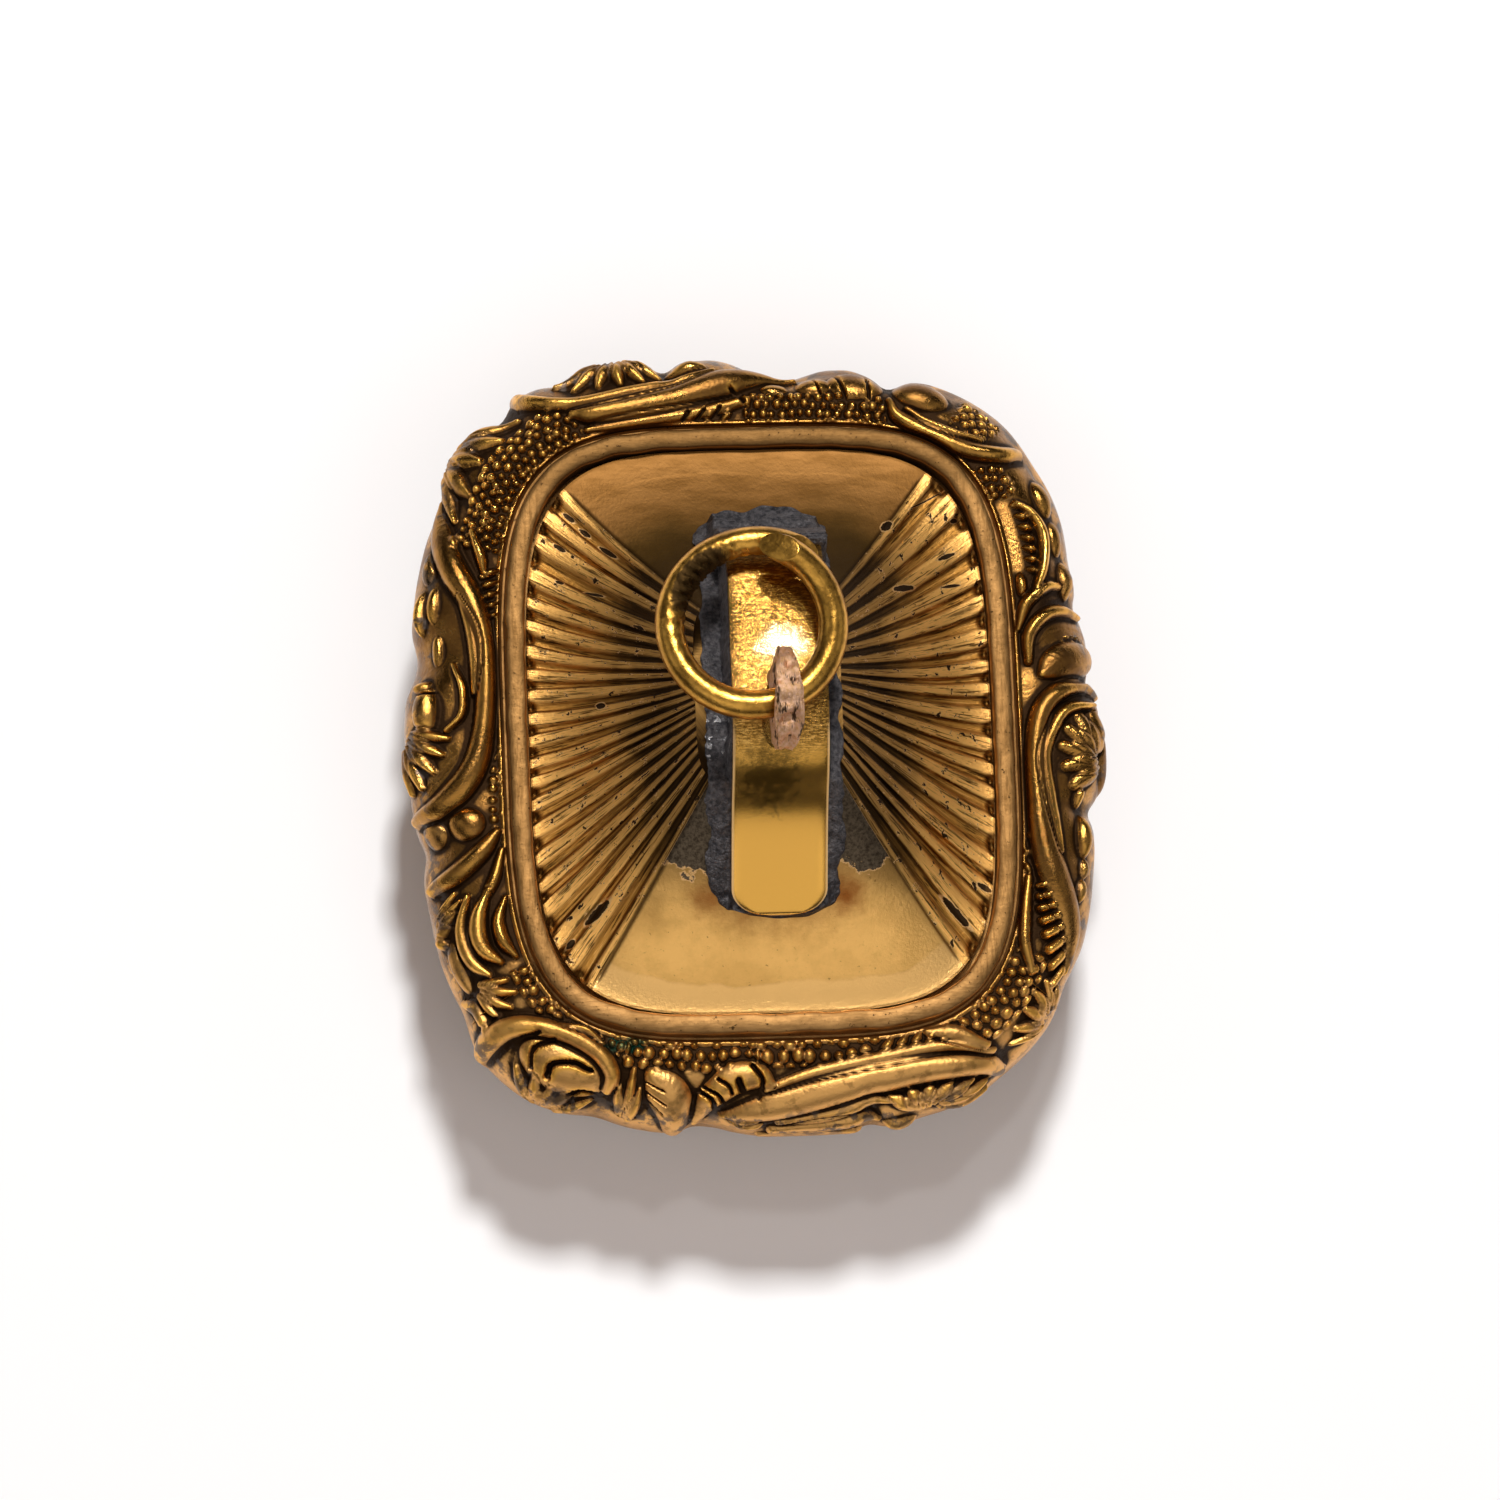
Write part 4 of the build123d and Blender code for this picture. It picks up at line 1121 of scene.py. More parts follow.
    def profile(self, y: np.ndarray) -> np.ndarray:
        """Level of the cap's middle line.

        Args:
            y: distances from the middle to the back, or less than 0 to the front.

        Returns:
            The levels.
        """
        edge = self.rim.length / 2 - self.edge_inset
        stem = self.stem_length / 2 + np.sign(y) * self.stem_shift
        share = np.clip((edge - np.abs(y)) / (edge - stem), 0, 1)
        steps = np.array([0, 0.08, 0.25, 0.5, 0.75, 1])
        return np.interp(share, steps, self.level + self.rise * steps**self.hollow)


@dataclass
class Hanger:
    """Strap over the cap, the eye on it and the lead solder under it."""

    cap: FlutedCap
    shift: float
    strap_finish: bpy.types.Material
    eye_finish: bpy.types.Material
    lead_finish: bpy.types.Material
    strap_width: float = 3.4
    strap_thickness: float = 0.6
    strap_crown: float = 0.05
    strap_front: float = 6.9
    strap_back: float = 7.15
    strap_corner: float = 1.3
    strap_foot: float = 0.85
    strap_places: int = 17
    edge_soft: float = 0.05
    foot_soft: float = 0.07
    foot_reach: float = 0.12
    highlight_end_reach: float = 0.03
    bed: float = 0.15
    arch_rise: float = 1.65
    solder_width: float = 4.6
    solder_thickness: float = 0.3
    front_margin: float = 0.24
    back_margin: float = 0.7
    left_extra: float = 0.22
    lead_up: float = 0.1
    lead_over: float = 0.1
    lead_at_foot: float = 0.36
    foot_lead: tuple[float, float] = (6.1, 6.7)
    back_lead: tuple[float, float] = (5.0, 5.6)
    ragged: float = 0.1
    fine_ragged: float = 0.35
    right_trim: float = 0.04
    end_ragged: float = 0.1
    back_bays: float = 0.9
    front_bays: float = 0.5
    front_bay_share: float = 0.35
    lump_waves: int = 12
    shoulder: float = 0.25
    wall_soft: float = 0.2
    back_swell: float = 0.2
    solder_gap: float = 0.03
    eye_radius: float = 1.85
    eye_hole: float = 1.05
    eye_thickness: float = 0.9
    eye_set: float = -0.6
    eye_web: float = 0.25
    eye_soft: float = 0.13
    eye_thin: float = 0.40
    eye_thicker: float = 0.40
    eye_bulge: float = 0.32
    eye_bulge_half: float = 45.0
    eye_wide_at: float = 118.0
    eye_split: float = 0.2
    eye_dents: float = 0.07
    eye_lean: float = 0.07
    foot_half_long: float = 1.15
    foot_height: float = 0.5
    foot_inset: float = 0.06
    foot_spread: tuple[float, float] = (0.32, 0.35)
    foot_squareness: float = 3.0
    foot_sunk: float = 0.12
    axle_drop: float = 0.30
    route_steps: int = 240
    arch_table: tuple[tuple[float, float], ...] = field(
        default=((-0.82, 0.50), (-0.42, 0.92), (0.35, 1.0), (1.14, 0.96), (1.45, 0.55)))

    @property
    def stem_level(self) -> float:
        """Level of the cap's top."""
        return self.cap.level + self.cap.rise

    @property
    def eye_level(self) -> float:
        """Level of the eye's middle."""
        return self.stem_level + self.arch_rise + self.strap_thickness + self.eye_web + self.eye_hole

    @property
    def axle(self) -> Triple:
        """Place in the eye where the jump ring's wire hangs."""
        return self.shift, self.eye_set, self.eye_level - self.axle_drop

    def route(self) -> np.ndarray:
        """Underside of the strap as points (y, z), from front to back."""
        half = self.cap.stem_length / 2
        front = np.array([-self.strap_front, -0.73 * self.strap_front, self.cap.stem_shift - 1.09 * half])
        back = np.array([self.cap.stem_shift + 1.75 * half, self.strap_back])
        arch = [(self.cap.stem_shift + place * half, self.stem_level + share * self.arch_rise)
                for place, share in self.arch_table]
        knots = [(y, z + self.bed) for y, z in zip(front, self.cap.profile(front))] + arch
        knots += [(y, z + self.bed) for y, z in zip(back, self.cap.profile(back))]
        return natural_curve(np.array(knots), self.route_steps)

    def plan_half(self, y: np.ndarray, low: float, high: float, half: float, corner: float,
                  foot: float | None = None) -> np.ndarray:
        """Half width of a strip with rounded ends.

        Args:
            y: distances along the strip.
            low: where it starts.
            high: where it ends.
            half: its half width away from the ends.
            corner: how far the ends draw in.
            foot: length of the low end's curve, where it differs from the corner.

        Returns:
            The half width at each distance.
        """
        foot = foot or corner
        long = np.where(y - low < high - y, foot, corner)
        dip = np.clip(1 - np.minimum(y - low, high - y) / long, 0, 1)
        return half - corner + corner * np.sqrt(np.clip(1 - dip**2, 0, None))

    def build_strap(self) -> None:
        """Build the bent strap with softened edges, and mark where the finish paints a highlight outline
        along its edges and foot.
        """
        route = self.route()
        square = beside_route(route)
        along = np.clip(route[:, 0], -self.strap_front, self.strap_back)
        full = self.strap_width / 2
        reach = self.plan_half(along, -self.strap_front, self.strap_back, full, self.strap_corner,
                               self.strap_foot)
        places = self.strap_places
        across = np.concatenate([np.linspace(-1, 1, places), np.linspace(1, -1, places)])
        on_top = np.arange(2 * places) < places
        rings, highlight_outline = [], []
        for (y, z), (side_y, side_z), half in zip(route, square, reach):
            soft = self.edge_soft * np.clip((np.abs(across) - 0.88) / 0.12, 0, 1) ** 2
            soft += self.strap_crown * (across * half / full) ** 2
            at_foot = float(ease(-y, self.strap_front - self.foot_reach, self.strap_front))
            soft += self.foot_soft * at_foot**2
            up = np.where(on_top, self.strap_thickness - soft, 0.4 * soft)
            rings.append(np.column_stack([self.shift + across * half, y + side_y * up, z + side_z * up]))
            # Where the finish paints a highlight outline: the top's long edges and its front end.
            highlight_end = float(y < self.highlight_end_reach - self.strap_front)
            highlight_outline.append(on_top * np.maximum(np.abs(across) > 0.99, highlight_end))
        piece = piece_from(loops_mesh(rings, Ends.CAPPED), "strap", 42)
        note(piece, "rim", np.array(highlight_outline)[place_numbers(piece)])
        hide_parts("hanger")
        lay(piece, "body", self.strap_finish)

    def eye_section(self) -> list[tuple[float, float]]:
        """Section of the eye's metal: places along the hole and distances from its middle."""
        half, inner, outer, soft = self.eye_thickness / 2, self.eye_hole, self.eye_radius, self.eye_soft
        return [(-half, inner + soft), (-half + soft, inner), (half - soft, inner), (half, inner + soft),
                (half, outer - soft), (half - 0.3 * soft, outer - 0.3 * soft), (half - soft, outer),
                (0.35 * half, outer), (0, outer - 0.02), (-0.35 * half, outer), (-half + soft, outer),
                (-half + 0.3 * soft, outer - 0.3 * soft), (-half, outer - soft)]

    def eye_ring(self, share: float) -> np.ndarray:
        """One section of the eye, thinned, dented and leaning.

        Args:
            share: how far round the hole it stands, from 0 to 1.

        Returns:
            Its points.
        """
        angle = 2 * math.pi * share
        from_back = min(share, 1 - share) * 360
        taper = self.eye_thin + self.eye_thicker * float(ease(from_back, 0, 60))
        taper += self.eye_bulge * math.exp(-((share * 360 - self.eye_wide_at) / self.eye_bulge_half) ** 2)
        split = max(0.0, float(drifting(np.array(share), 9, 77))) * self.eye_split
        ring = []
        for place, (side, radius) in enumerate(self.eye_section()):
            worn = float(radius > 0.8 * self.eye_radius)
            dent = self.eye_dents * worn * (float(drifting(np.array(share), 22, 20 + place)) - 0.8)
            groove = split * worn * float(abs(side) < 0.2 * self.eye_thickness)
            lean = 0.05 * float(drifting(np.array(share), 12, 9 + int(side > 0))) * worn
            lean += self.eye_lean * math.sin(angle)
            reach = radius + min(dent, 0.0) - groove
            ring.append((self.shift + side * taper + lean, self.eye_set + reach * math.cos(angle),
                         self.eye_level + reach * math.sin(angle)))
        return np.array(ring)

    def build_eye(self, turns: int = 160) -> None:
        """Build the upright eye, a hammered ring with a worn rim.

        Args:
            turns: how many sections stand round the hole.
        """
        rings = [self.eye_ring(share) for share in np.arange(turns) / turns]
        piece = piece_from(loops_mesh(rings, Ends.JOINED), "eye", 50)
        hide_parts("hanger")
        lay(piece, "body", self.eye_finish)

    def build_eye_foot(self) -> None:
        """Build the small fillet of solder where the eye stands on the strap."""
        route = self.route()
        base = float(np.interp(self.eye_set, route[:, 0], route[:, 1])) + self.strap_thickness
        rings = []
        for share in np.linspace(0, 1, 9):
            spread = (1 - share) ** 2
            half_x = self.eye_thickness / 2 - self.foot_inset + self.foot_spread[0] * spread
            half_y = self.foot_half_long + self.foot_spread[1] * spread
            flat = cushion(half_x, half_y, self.foot_squareness, np.arange(0, 360, 7.5))
            level = np.full(len(flat), base - self.foot_sunk + self.foot_height * share)
            rings.append(np.column_stack([flat + (self.shift, self.eye_set), level]))
        piece = piece_from(loops_mesh(rings, Ends.CAPPED), "eye_foot", 60)
        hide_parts("hanger")
        lay(piece, "body", self.strap_finish)

    def lead_crown(self, y: float, route: np.ndarray, outer: np.ndarray) -> float:
        """Level of the lead's top by the strap, which it covers at the back.

        Args:
            y: distance along the strap.
            route: the strap's underside.
            outer: the strap's upper side.

        Returns:
            The level.
        """
        over = float(ease(-y, *self.foot_lead)) * self.lead_at_foot
        crown = float(np.interp(y, route[:, 0], route[:, 1])) + self.lead_up + over
        beside = outer[np.abs(outer[:, 0] - y) < 0.12]
        skin = float(beside[:, 1].max()) if len(beside) else crown
        return crown + float(ease(y, *self.back_lead)) * (skin + self.lead_over - crown)

    def lead_top(self, across: np.ndarray, x: np.ndarray, y: float, ground: float,
                 crown: float) -> np.ndarray:
        """Lumpy top of the lead at one station, a thin apron with a wall up to the strap.

        Args:
            across: places across it, from -1 to 1.
            x: the same places in millimetres.
            y: distance along the strap.
            ground: level of the cap there.
            crown: level of the lead's top by the strap.

        Returns:
            The level at each place.
        """
        phases = np.random.default_rng(8).random((self.lump_waves, 3)) * 2 * np.pi
        ripple = sum(math.sin(p[0] + y * (1.1 + 0.55 * i)) * np.sin(p[1] + x * (1.3 + 0.5 * i)) / (2 + i)
                     for i, p in enumerate(phases))
        lumps = sum(math.sin(p[2] + y * (4.1 + 1.3 * i)) * np.sin(p[0] + x * (4.7 + 1.1 * i)) / 6
                    for i, p in enumerate(phases))
        buried = float(ease(y, *self.back_lead))
        round_edge = 0.12 + 0.88 * np.sqrt(np.clip(1 - np.abs(across) ** 6, 0, 1))
        apron = ground + self.solder_thickness * (0.62 + 0.3 * ripple + 0.12 * lumps) * round_edge
        wall_half = self.strap_width / 2 + self.shoulder * (0.6 + 0.4 * ripple + 0.25 * lumps)
        wall_half = wall_half + self.back_swell * buried
        wall = ease(-np.abs(x), -wall_half, -wall_half + self.wall_soft) * (1 - 0.05 * np.abs(lumps))
        crossed = np.sin(2.1 * x + 1.7 * y + 1.0) * np.sin(2.9 * y - 1.3 * x)
        top_lumps = buried * (0.10 * crossed + 0.05 * lumps)
        crown = max(crown, ground + self.lead_up)
        return np.maximum(apron, apron + (crown + top_lumps - apron) * wall)

    def build_solder(self, stations: int = 300, places: int = 84) -> None:
        """Build the lump of lead solder that beds the strap and fills its arch.

        Args:
            stations: how many loops lie along it.
            places: how many points lie across its top.
        """
        low, high = -self.strap_front - self.front_margin, self.strap_back + self.back_margin
        route = self.route()
        outer = route + self.strap_thickness * beside_route(route)
        y_all = low + (high - low) * (1 - np.cos(np.linspace(0, np.pi, stations))) / 2
        y_all = 0.5 * y_all + 0.5 * np.linspace(low, high, stations)
        halves = self.plan_half(y_all, low, high, self.solder_width / 2,
                                self.strap_corner + self.front_margin)
        along = (y_all - low) / (high - low) * 0.8
        fine = self.ragged * self.fine_ragged
        left_edge = self.left_extra + self.ragged * drifting(along, 11, 51) + fine * drifting(along, 60, 53)
        right_edge = self.ragged * drifting(along, 13, 52) - self.right_trim + fine * drifting(along, 60, 54)
        across = np.linspace(-1, 1, places)
        rings = []
        for y, half, left, right in zip(y_all, halves, left_edge, right_edge):
            ground = float(self.cap.profile(np.array(y))) + self.solder_gap
            fullness = half / halves.max()
            x = across * (half + np.where(across < 0, left, right) * fullness)
            top = self.lead_top(across, x, y, ground, self.lead_crown(y, route, outer))
            under_x = x[::-12]
            loop_x = np.concatenate([x, under_x])
            loop_z = np.concatenate([top, np.full(len(under_x), ground)])
            at_end = float(ease(y, high - self.back_bays, high))
            at_end += self.front_bay_share * float(ease(-y, -low - self.front_bays, -low))
            bays = np.sin(2.3 * loop_x + 0.6) + 0.6 * np.sin(5.1 * loop_x + 2.0) - 1.2
            loop_y = y + np.sign(y) * self.end_ragged * at_end * bays
            rings.append(np.column_stack([self.shift + loop_x, loop_y, loop_z]))
        piece = piece_from(loops_mesh(rings, Ends.CAPPED), "lead_solder", 50)
        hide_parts("hanger")
        lay(piece, "body", self.lead_finish)

    def build(self) -> None:
        """Build all pieces of the hanger."""
        self.build_strap()
        self.build_eye()
        self.build_eye_foot()
        self.build_solder()


def beside_route(route: np.ndarray) -> np.ndarray:
    """Unit directions square to a route in its own plane, on its left.

    Args:
        route: points (y, z) along it.

    Returns:
        A direction for each point.
    """
    ahead = np.gradient(route, axis=0)
    ahead /= np.linalg.norm(ahead, axis=1)[:, None]
    return np.stack([-ahead[:, 1], ahead[:, 0]], 1)


def natural_curve(knots: np.ndarray, count: int) -> np.ndarray:
    """Natural cubic spline through knots, spaced by the lengths of its chords.

    Args:
        knots: the points that the curve passes, one a row.
        count: how many points it returns.

    Returns:
        Points along the curve, one a row.
    """
    walked = np.concatenate([[0], np.cumsum(np.linalg.norm(np.diff(knots, axis=0), axis=1))])
    gaps = np.diff(walked)
    size = len(knots)
    system, right = np.eye(size), np.zeros((size, knots.shape[1]))
    for i in range(1, size - 1):
        system[i, i - 1:i + 2] = gaps[i - 1], 2 * (gaps[i - 1] + gaps[i]), gaps[i]
        right[i] = 6 * ((knots[i + 1] - knots[i]) / gaps[i] - (knots[i] - knots[i - 1]) / gaps[i - 1])
    bends = np.linalg.solve(system, right)
    steps = np.linspace(0, walked[-1], count)
    span = np.clip(np.searchsorted(walked, steps, side="right") - 1, 0, size - 2)
    gap = gaps[span][:, None]
    ahead, behind = (walked[span + 1] - steps)[:, None], (steps - walked[span])[:, None]
    curve = (bends[span] * ahead**3 + bends[span + 1] * behind**3) / (6 * gap)
    curve += (knots[span] / gap - bends[span] * gap / 6) * ahead
    return curve + (knots[span + 1] / gap - bends[span + 1] * gap / 6) * behind


@dataclass
class JumpRing:
    """Round wire ring with lapped ends, swung back on the strap."""

    axle: Triple
    finish: bpy.types.Material
    wire: float = 1.04
    dented: float = 0.012
    radius: float = 2.88
    tilt: float = 3.2
    turn: float = 20.0
    start: float = 34.0
    lap: float = 16.0
    drop: float = 0.12
    rise: float = 1.14
    stand_out: float = 0.5
    draw_in: float = 0.14
    knots: int = 25
    cut_slant: float = 1.15
    cut_stations: int = 9
    crust_at: float = 0.24
    crust_half: float = 0.09
    crust_depth: float = 0.19
    crust_turn: float = 2.6
    stations: int = 260
    sides: int = 36

    def route(self) -> np.ndarray:
        """Middle line of the wire in millimetres."""
        tilted = Matrix.Rotation(math.radians(-self.tilt), 3, "X")
        lean = tilted @ Matrix.Rotation(math.radians(self.turn), 3, "Z")
        points = []
        for share in np.linspace(0, 1, self.knots):
            angle = math.radians(self.start + (360 + self.lap) * share)
            first, last = max(1 - 2 * share, 0) ** 3, max(2 * share - 1, 0) ** 3
            reach = self.radius + self.stand_out * first - self.draw_in * last
            lift = self.rise * last - self.drop * first
            spot = Vector((reach * math.cos(angle), self.radius + reach * math.sin(angle), lift))
            points.append(Vector(self.axle) + lean @ spot)
        return natural_curve(np.array(points), self.stations)

    def build(self) -> None:
        """Build the ring as a wire with softened cut ends."""
        route = self.route()
        ahead = np.gradient(route, axis=0)
        ahead /= np.linalg.norm(ahead, axis=1)[:, None]
        turns = 2 * np.pi * np.arange(self.sides) / self.sides
        end_sizes = {0: 0.90, 1: 0.97}
        rings, crusts = [], []
        for i, (spot, way) in enumerate(zip(route, ahead)):
            side = np.cross(way, (0, 0, 1))
            side /= np.linalg.norm(side)
            up = np.cross(side, way)
            around = i / self.stations
            from_end = min(i, self.stations - 1 - i)
            uneven = 1 - self.dented * abs(float(drifting(np.array(around), 9, 31)))
            size = 0.5 * self.wire * end_sizes.get(from_end, 1.0) * uneven
            slant = self.cut_slant * max(0.0, 1 - from_end / self.cut_stations)
            slant *= 1 if i < self.cut_stations else -1
            crust = math.exp(-((around - self.crust_at) / self.crust_half) ** 2)
            crumbs = np.sin(i * 0.9 + 2 * np.sin(turns * 3)) + 0.4 * np.sin(i * 2.3 + turns * 5)
            size *= 1 + crust * self.crust_depth * np.clip(np.cos(turns - self.crust_turn), 0, 1) * crumbs
            size = size[:, None]
            ring = spot + size * (np.cos(turns)[:, None] * side + np.sin(turns)[:, None] * up)
            rings.append(ring + slant * size * np.sin(turns)[:, None] * way)
            crusts.append(crust * np.clip(np.cos(turns - self.crust_turn) + 0.35, 0, 1))
        piece = piece_from(loops_mesh(rings, Ends.CAPPED), "jump_ring_wire", 40)
        note(piece, "crust", np.array(crusts)[place_numbers(piece)])
        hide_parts("jump_ring")
        lay(piece, "ring", self.finish)


class Tree:
    """Short way to lay nodes in a material's or a group's tree."""

    def __init__(self, graph: bpy.types.NodeTree) -> None:
        """Keep the tree that the nodes go in."""
        self.graph = graph

    def add(self, kind: str, inputs: dict[str | int, Value] | None = None,
            **settings: object) -> bpy.types.Node:
        """Add a node, set its properties, and set or link its inputs.

        Args:
            kind: the node's type.
            inputs: constants or output sockets by the input's name or number.
            **settings: the node's properties.

        Returns:
            The new node.
        """
        node = self.graph.nodes.new(kind)
        for name, setting in settings.items():
            setattr(node, name, setting)
        for key, value in (inputs or {}).items():
            if isinstance(value, Socket):
                self.graph.links.new(value, node.inputs[key])
            else:
                node.inputs[key].default_value = value
        return node

    def math(self, operation: str, *values: Value) -> Socket:
        """Result of a calculation on constants and sockets."""
        return self.add("ShaderNodeMath", dict(enumerate(values)), operation=operation).outputs[0]

    def times(self, first: Value, second: Value) -> Socket:
        """Product of two constants or sockets."""
        return self.math("MULTIPLY", first, second)

    def plus(self, first: Value, second: Value) -> Socket:
        """Sum of two constants or sockets."""
        return self.math("ADD", first, second)

    def minus(self, first: Value, second: Value) -> Socket:
        """Difference of two constants or sockets."""
        return self.math("SUBTRACT", first, second)

    def ramp(self, value: Value, low: Value, high: Value) -> Socket:
        """Smooth step of a socket from 0 at low to 1 at high."""
        node = self.add("ShaderNodeMapRange", {"Value": value, "From Min": low, "From Max": high},
                        interpolation_type="SMOOTHSTEP")
        return node.outputs["Result"]

    def tint(self, under: Value, share: Value, colour: Value, most: float) -> Socket:
        """Colour with another laid over it by a share, at most so far."""
        return self.mix(self.times(share, most), under, colour)

    def mix(self, share: Value, low: Value, high: Value) -> Socket:
        """Colour between two.

        Args:
            share: 0 for the first and 1 for the second.
            low: the first colour, a constant or a socket.
            high: the second colour.

        Returns:
            The colour.
        """
        low, high = ((*c, 1.0) if isinstance(c, tuple) else c for c in (low, high))
        return self.add("ShaderNodeMix", {0: share, 6: low, 7: high}, data_type="RGBA").outputs[2]

    def blend(self, share: Value, low: Value, high: Value) -> Socket:
        """Number between two, by a share."""
        return self.add("ShaderNodeMix", {0: share, 2: low, 3: high}, data_type="FLOAT").outputs[0]

    def noise(self, place: Socket, scale: Value, detail: float = 4.0, roughness: float = 0.55) -> Socket:
        """Value of a noise texture.

        Args:
            place: the coordinates.
            scale: how many blots there are in one unit.
            detail: how many finer octaves are added.
            roughness: how strong the finer ones are.

        Returns:
            The value, from 0 to 1.
        """
        values = {"Vector": place, "Scale": scale, "Detail": detail, "Roughness": roughness}
        return self.add("ShaderNodeTexNoise", values).outputs["Fac"]

    def attribute(self, name: str) -> Socket:
        """Number that the mesh holds under a name."""
        return self.add("ShaderNodeAttribute", attribute_name=name).outputs["Fac"]

    def use(self, group: bpy.types.NodeTree, inputs: dict[str, Value]) -> Socket:
        """Result of a shared group that is placed in the tree."""
        return self.add("ShaderNodeGroup", inputs, node_tree=group).outputs[0]


def new_group(name: str, inputs: dict[str, Value], output: str) -> tuple[Tree, list[Socket], Socket]:
    """Start a shared group with its sockets.

    Args:
        name: the group's name.
        inputs: the inputs' names and their standing values, a number or three.
        output: the output's name.

    Returns:
        The group's tree, the sockets that give its inputs, and the socket that takes its result.
    """
    group = bpy.data.node_groups.new(name, "ShaderNodeTree")
    for label, value in inputs.items():
        kind = "NodeSocketFloat" if isinstance(value, float) else "NodeSocketVector"
        socket = group.interface.new_socket(name=label, in_out="INPUT", socket_type=kind)
        socket.default_value = value
    group.interface.new_socket(name=output, in_out="OUTPUT", socket_type="NodeSocketFloat")
    tree = Tree(group)
    given = tree.add("NodeGroupInput").outputs
    return tree, [given[label] for label in inputs], tree.add("NodeGroupOutput").inputs[output]


def blotch_group() -> bpy.types.NodeTree:
    """Group that gives irregular blotches: 1 inside them, 0 outside."""
    tree, (place, scale, level, softness), mask = new_group(
        "Blotches", {"Place": (0, 0, 0), "Scale": 2.0, "Level": 0.55, "Softness": 0.05}, "Mask")
    blots = tree.noise(place, scale, 6.0, 0.6)
    tree.graph.links.new(tree.ramp(blots, tree.minus(level, softness), tree.plus(level, softness)), mask)
    return tree.graph


def patch_group() -> bpy.types.NodeTree:
    """Group that gives one ragged oval patch at a place on the piece, in millimetres."""
    tree, (place, middle, reach, ragged, grain, softness, turn), mask = new_group(
        "Ragged patch", {"Place": (0, 0, 0), "Middle": (0, 0, 0), "Reach": (1, 1, 1), "Ragged": 0.4,
                         "Grain": 2.0, "Softness": 0.1, "Turn": 0.0}, "Mask")
    moved = tree.add("ShaderNodeVectorMath", {0: place, 1: middle}, operation="SUBTRACT").outputs[0]
    turned = tree.add("ShaderNodeVectorRotate", {"Vector": moved, "Angle": turn}, rotation_type="Z_AXIS")
    shaped = tree.add("ShaderNodeVectorMath", {0: turned.outputs[0], 1: reach}, operation="DIVIDE").outputs[0]
    distance = tree.add("ShaderNodeVectorMath", {0: shaped}, operation="LENGTH").outputs["Value"]
    off = tree.times(tree.minus(tree.noise(place, grain, 5.0, 0.62), 0.5), ragged)
    edge = tree.minus(1.0, tree.plus(distance, tree.times(off, 2.0)))
    tree.graph.links.new(tree.ramp(edge, 0.0, softness), mask)
    return tree.graph


def brushed_group() -> bpy.types.NodeTree:
    """Group that gives fine lines along one direction of the place that it is fed."""
    tree, (place, stretch, scale), lines = new_group(
        "Brushed lines", {"Place": (0, 0, 0), "Stretch": (1, 1, 1), "Scale": 4.0}, "Lines")
    stretched = tree.add("ShaderNodeVectorMath", {0: place, 1: stretch}, operation="MULTIPLY").outputs[0]
    tree.graph.links.new(tree.noise(stretched, scale, 3.0, 0.7), lines)
    return tree.graph


@dataclass(frozen=True)
class Workshop:
    """Shared groups that the finishes use."""

    blotches: bpy.types.NodeTree
    patch: bpy.types.NodeTree
    brushed: bpy.types.NodeTree


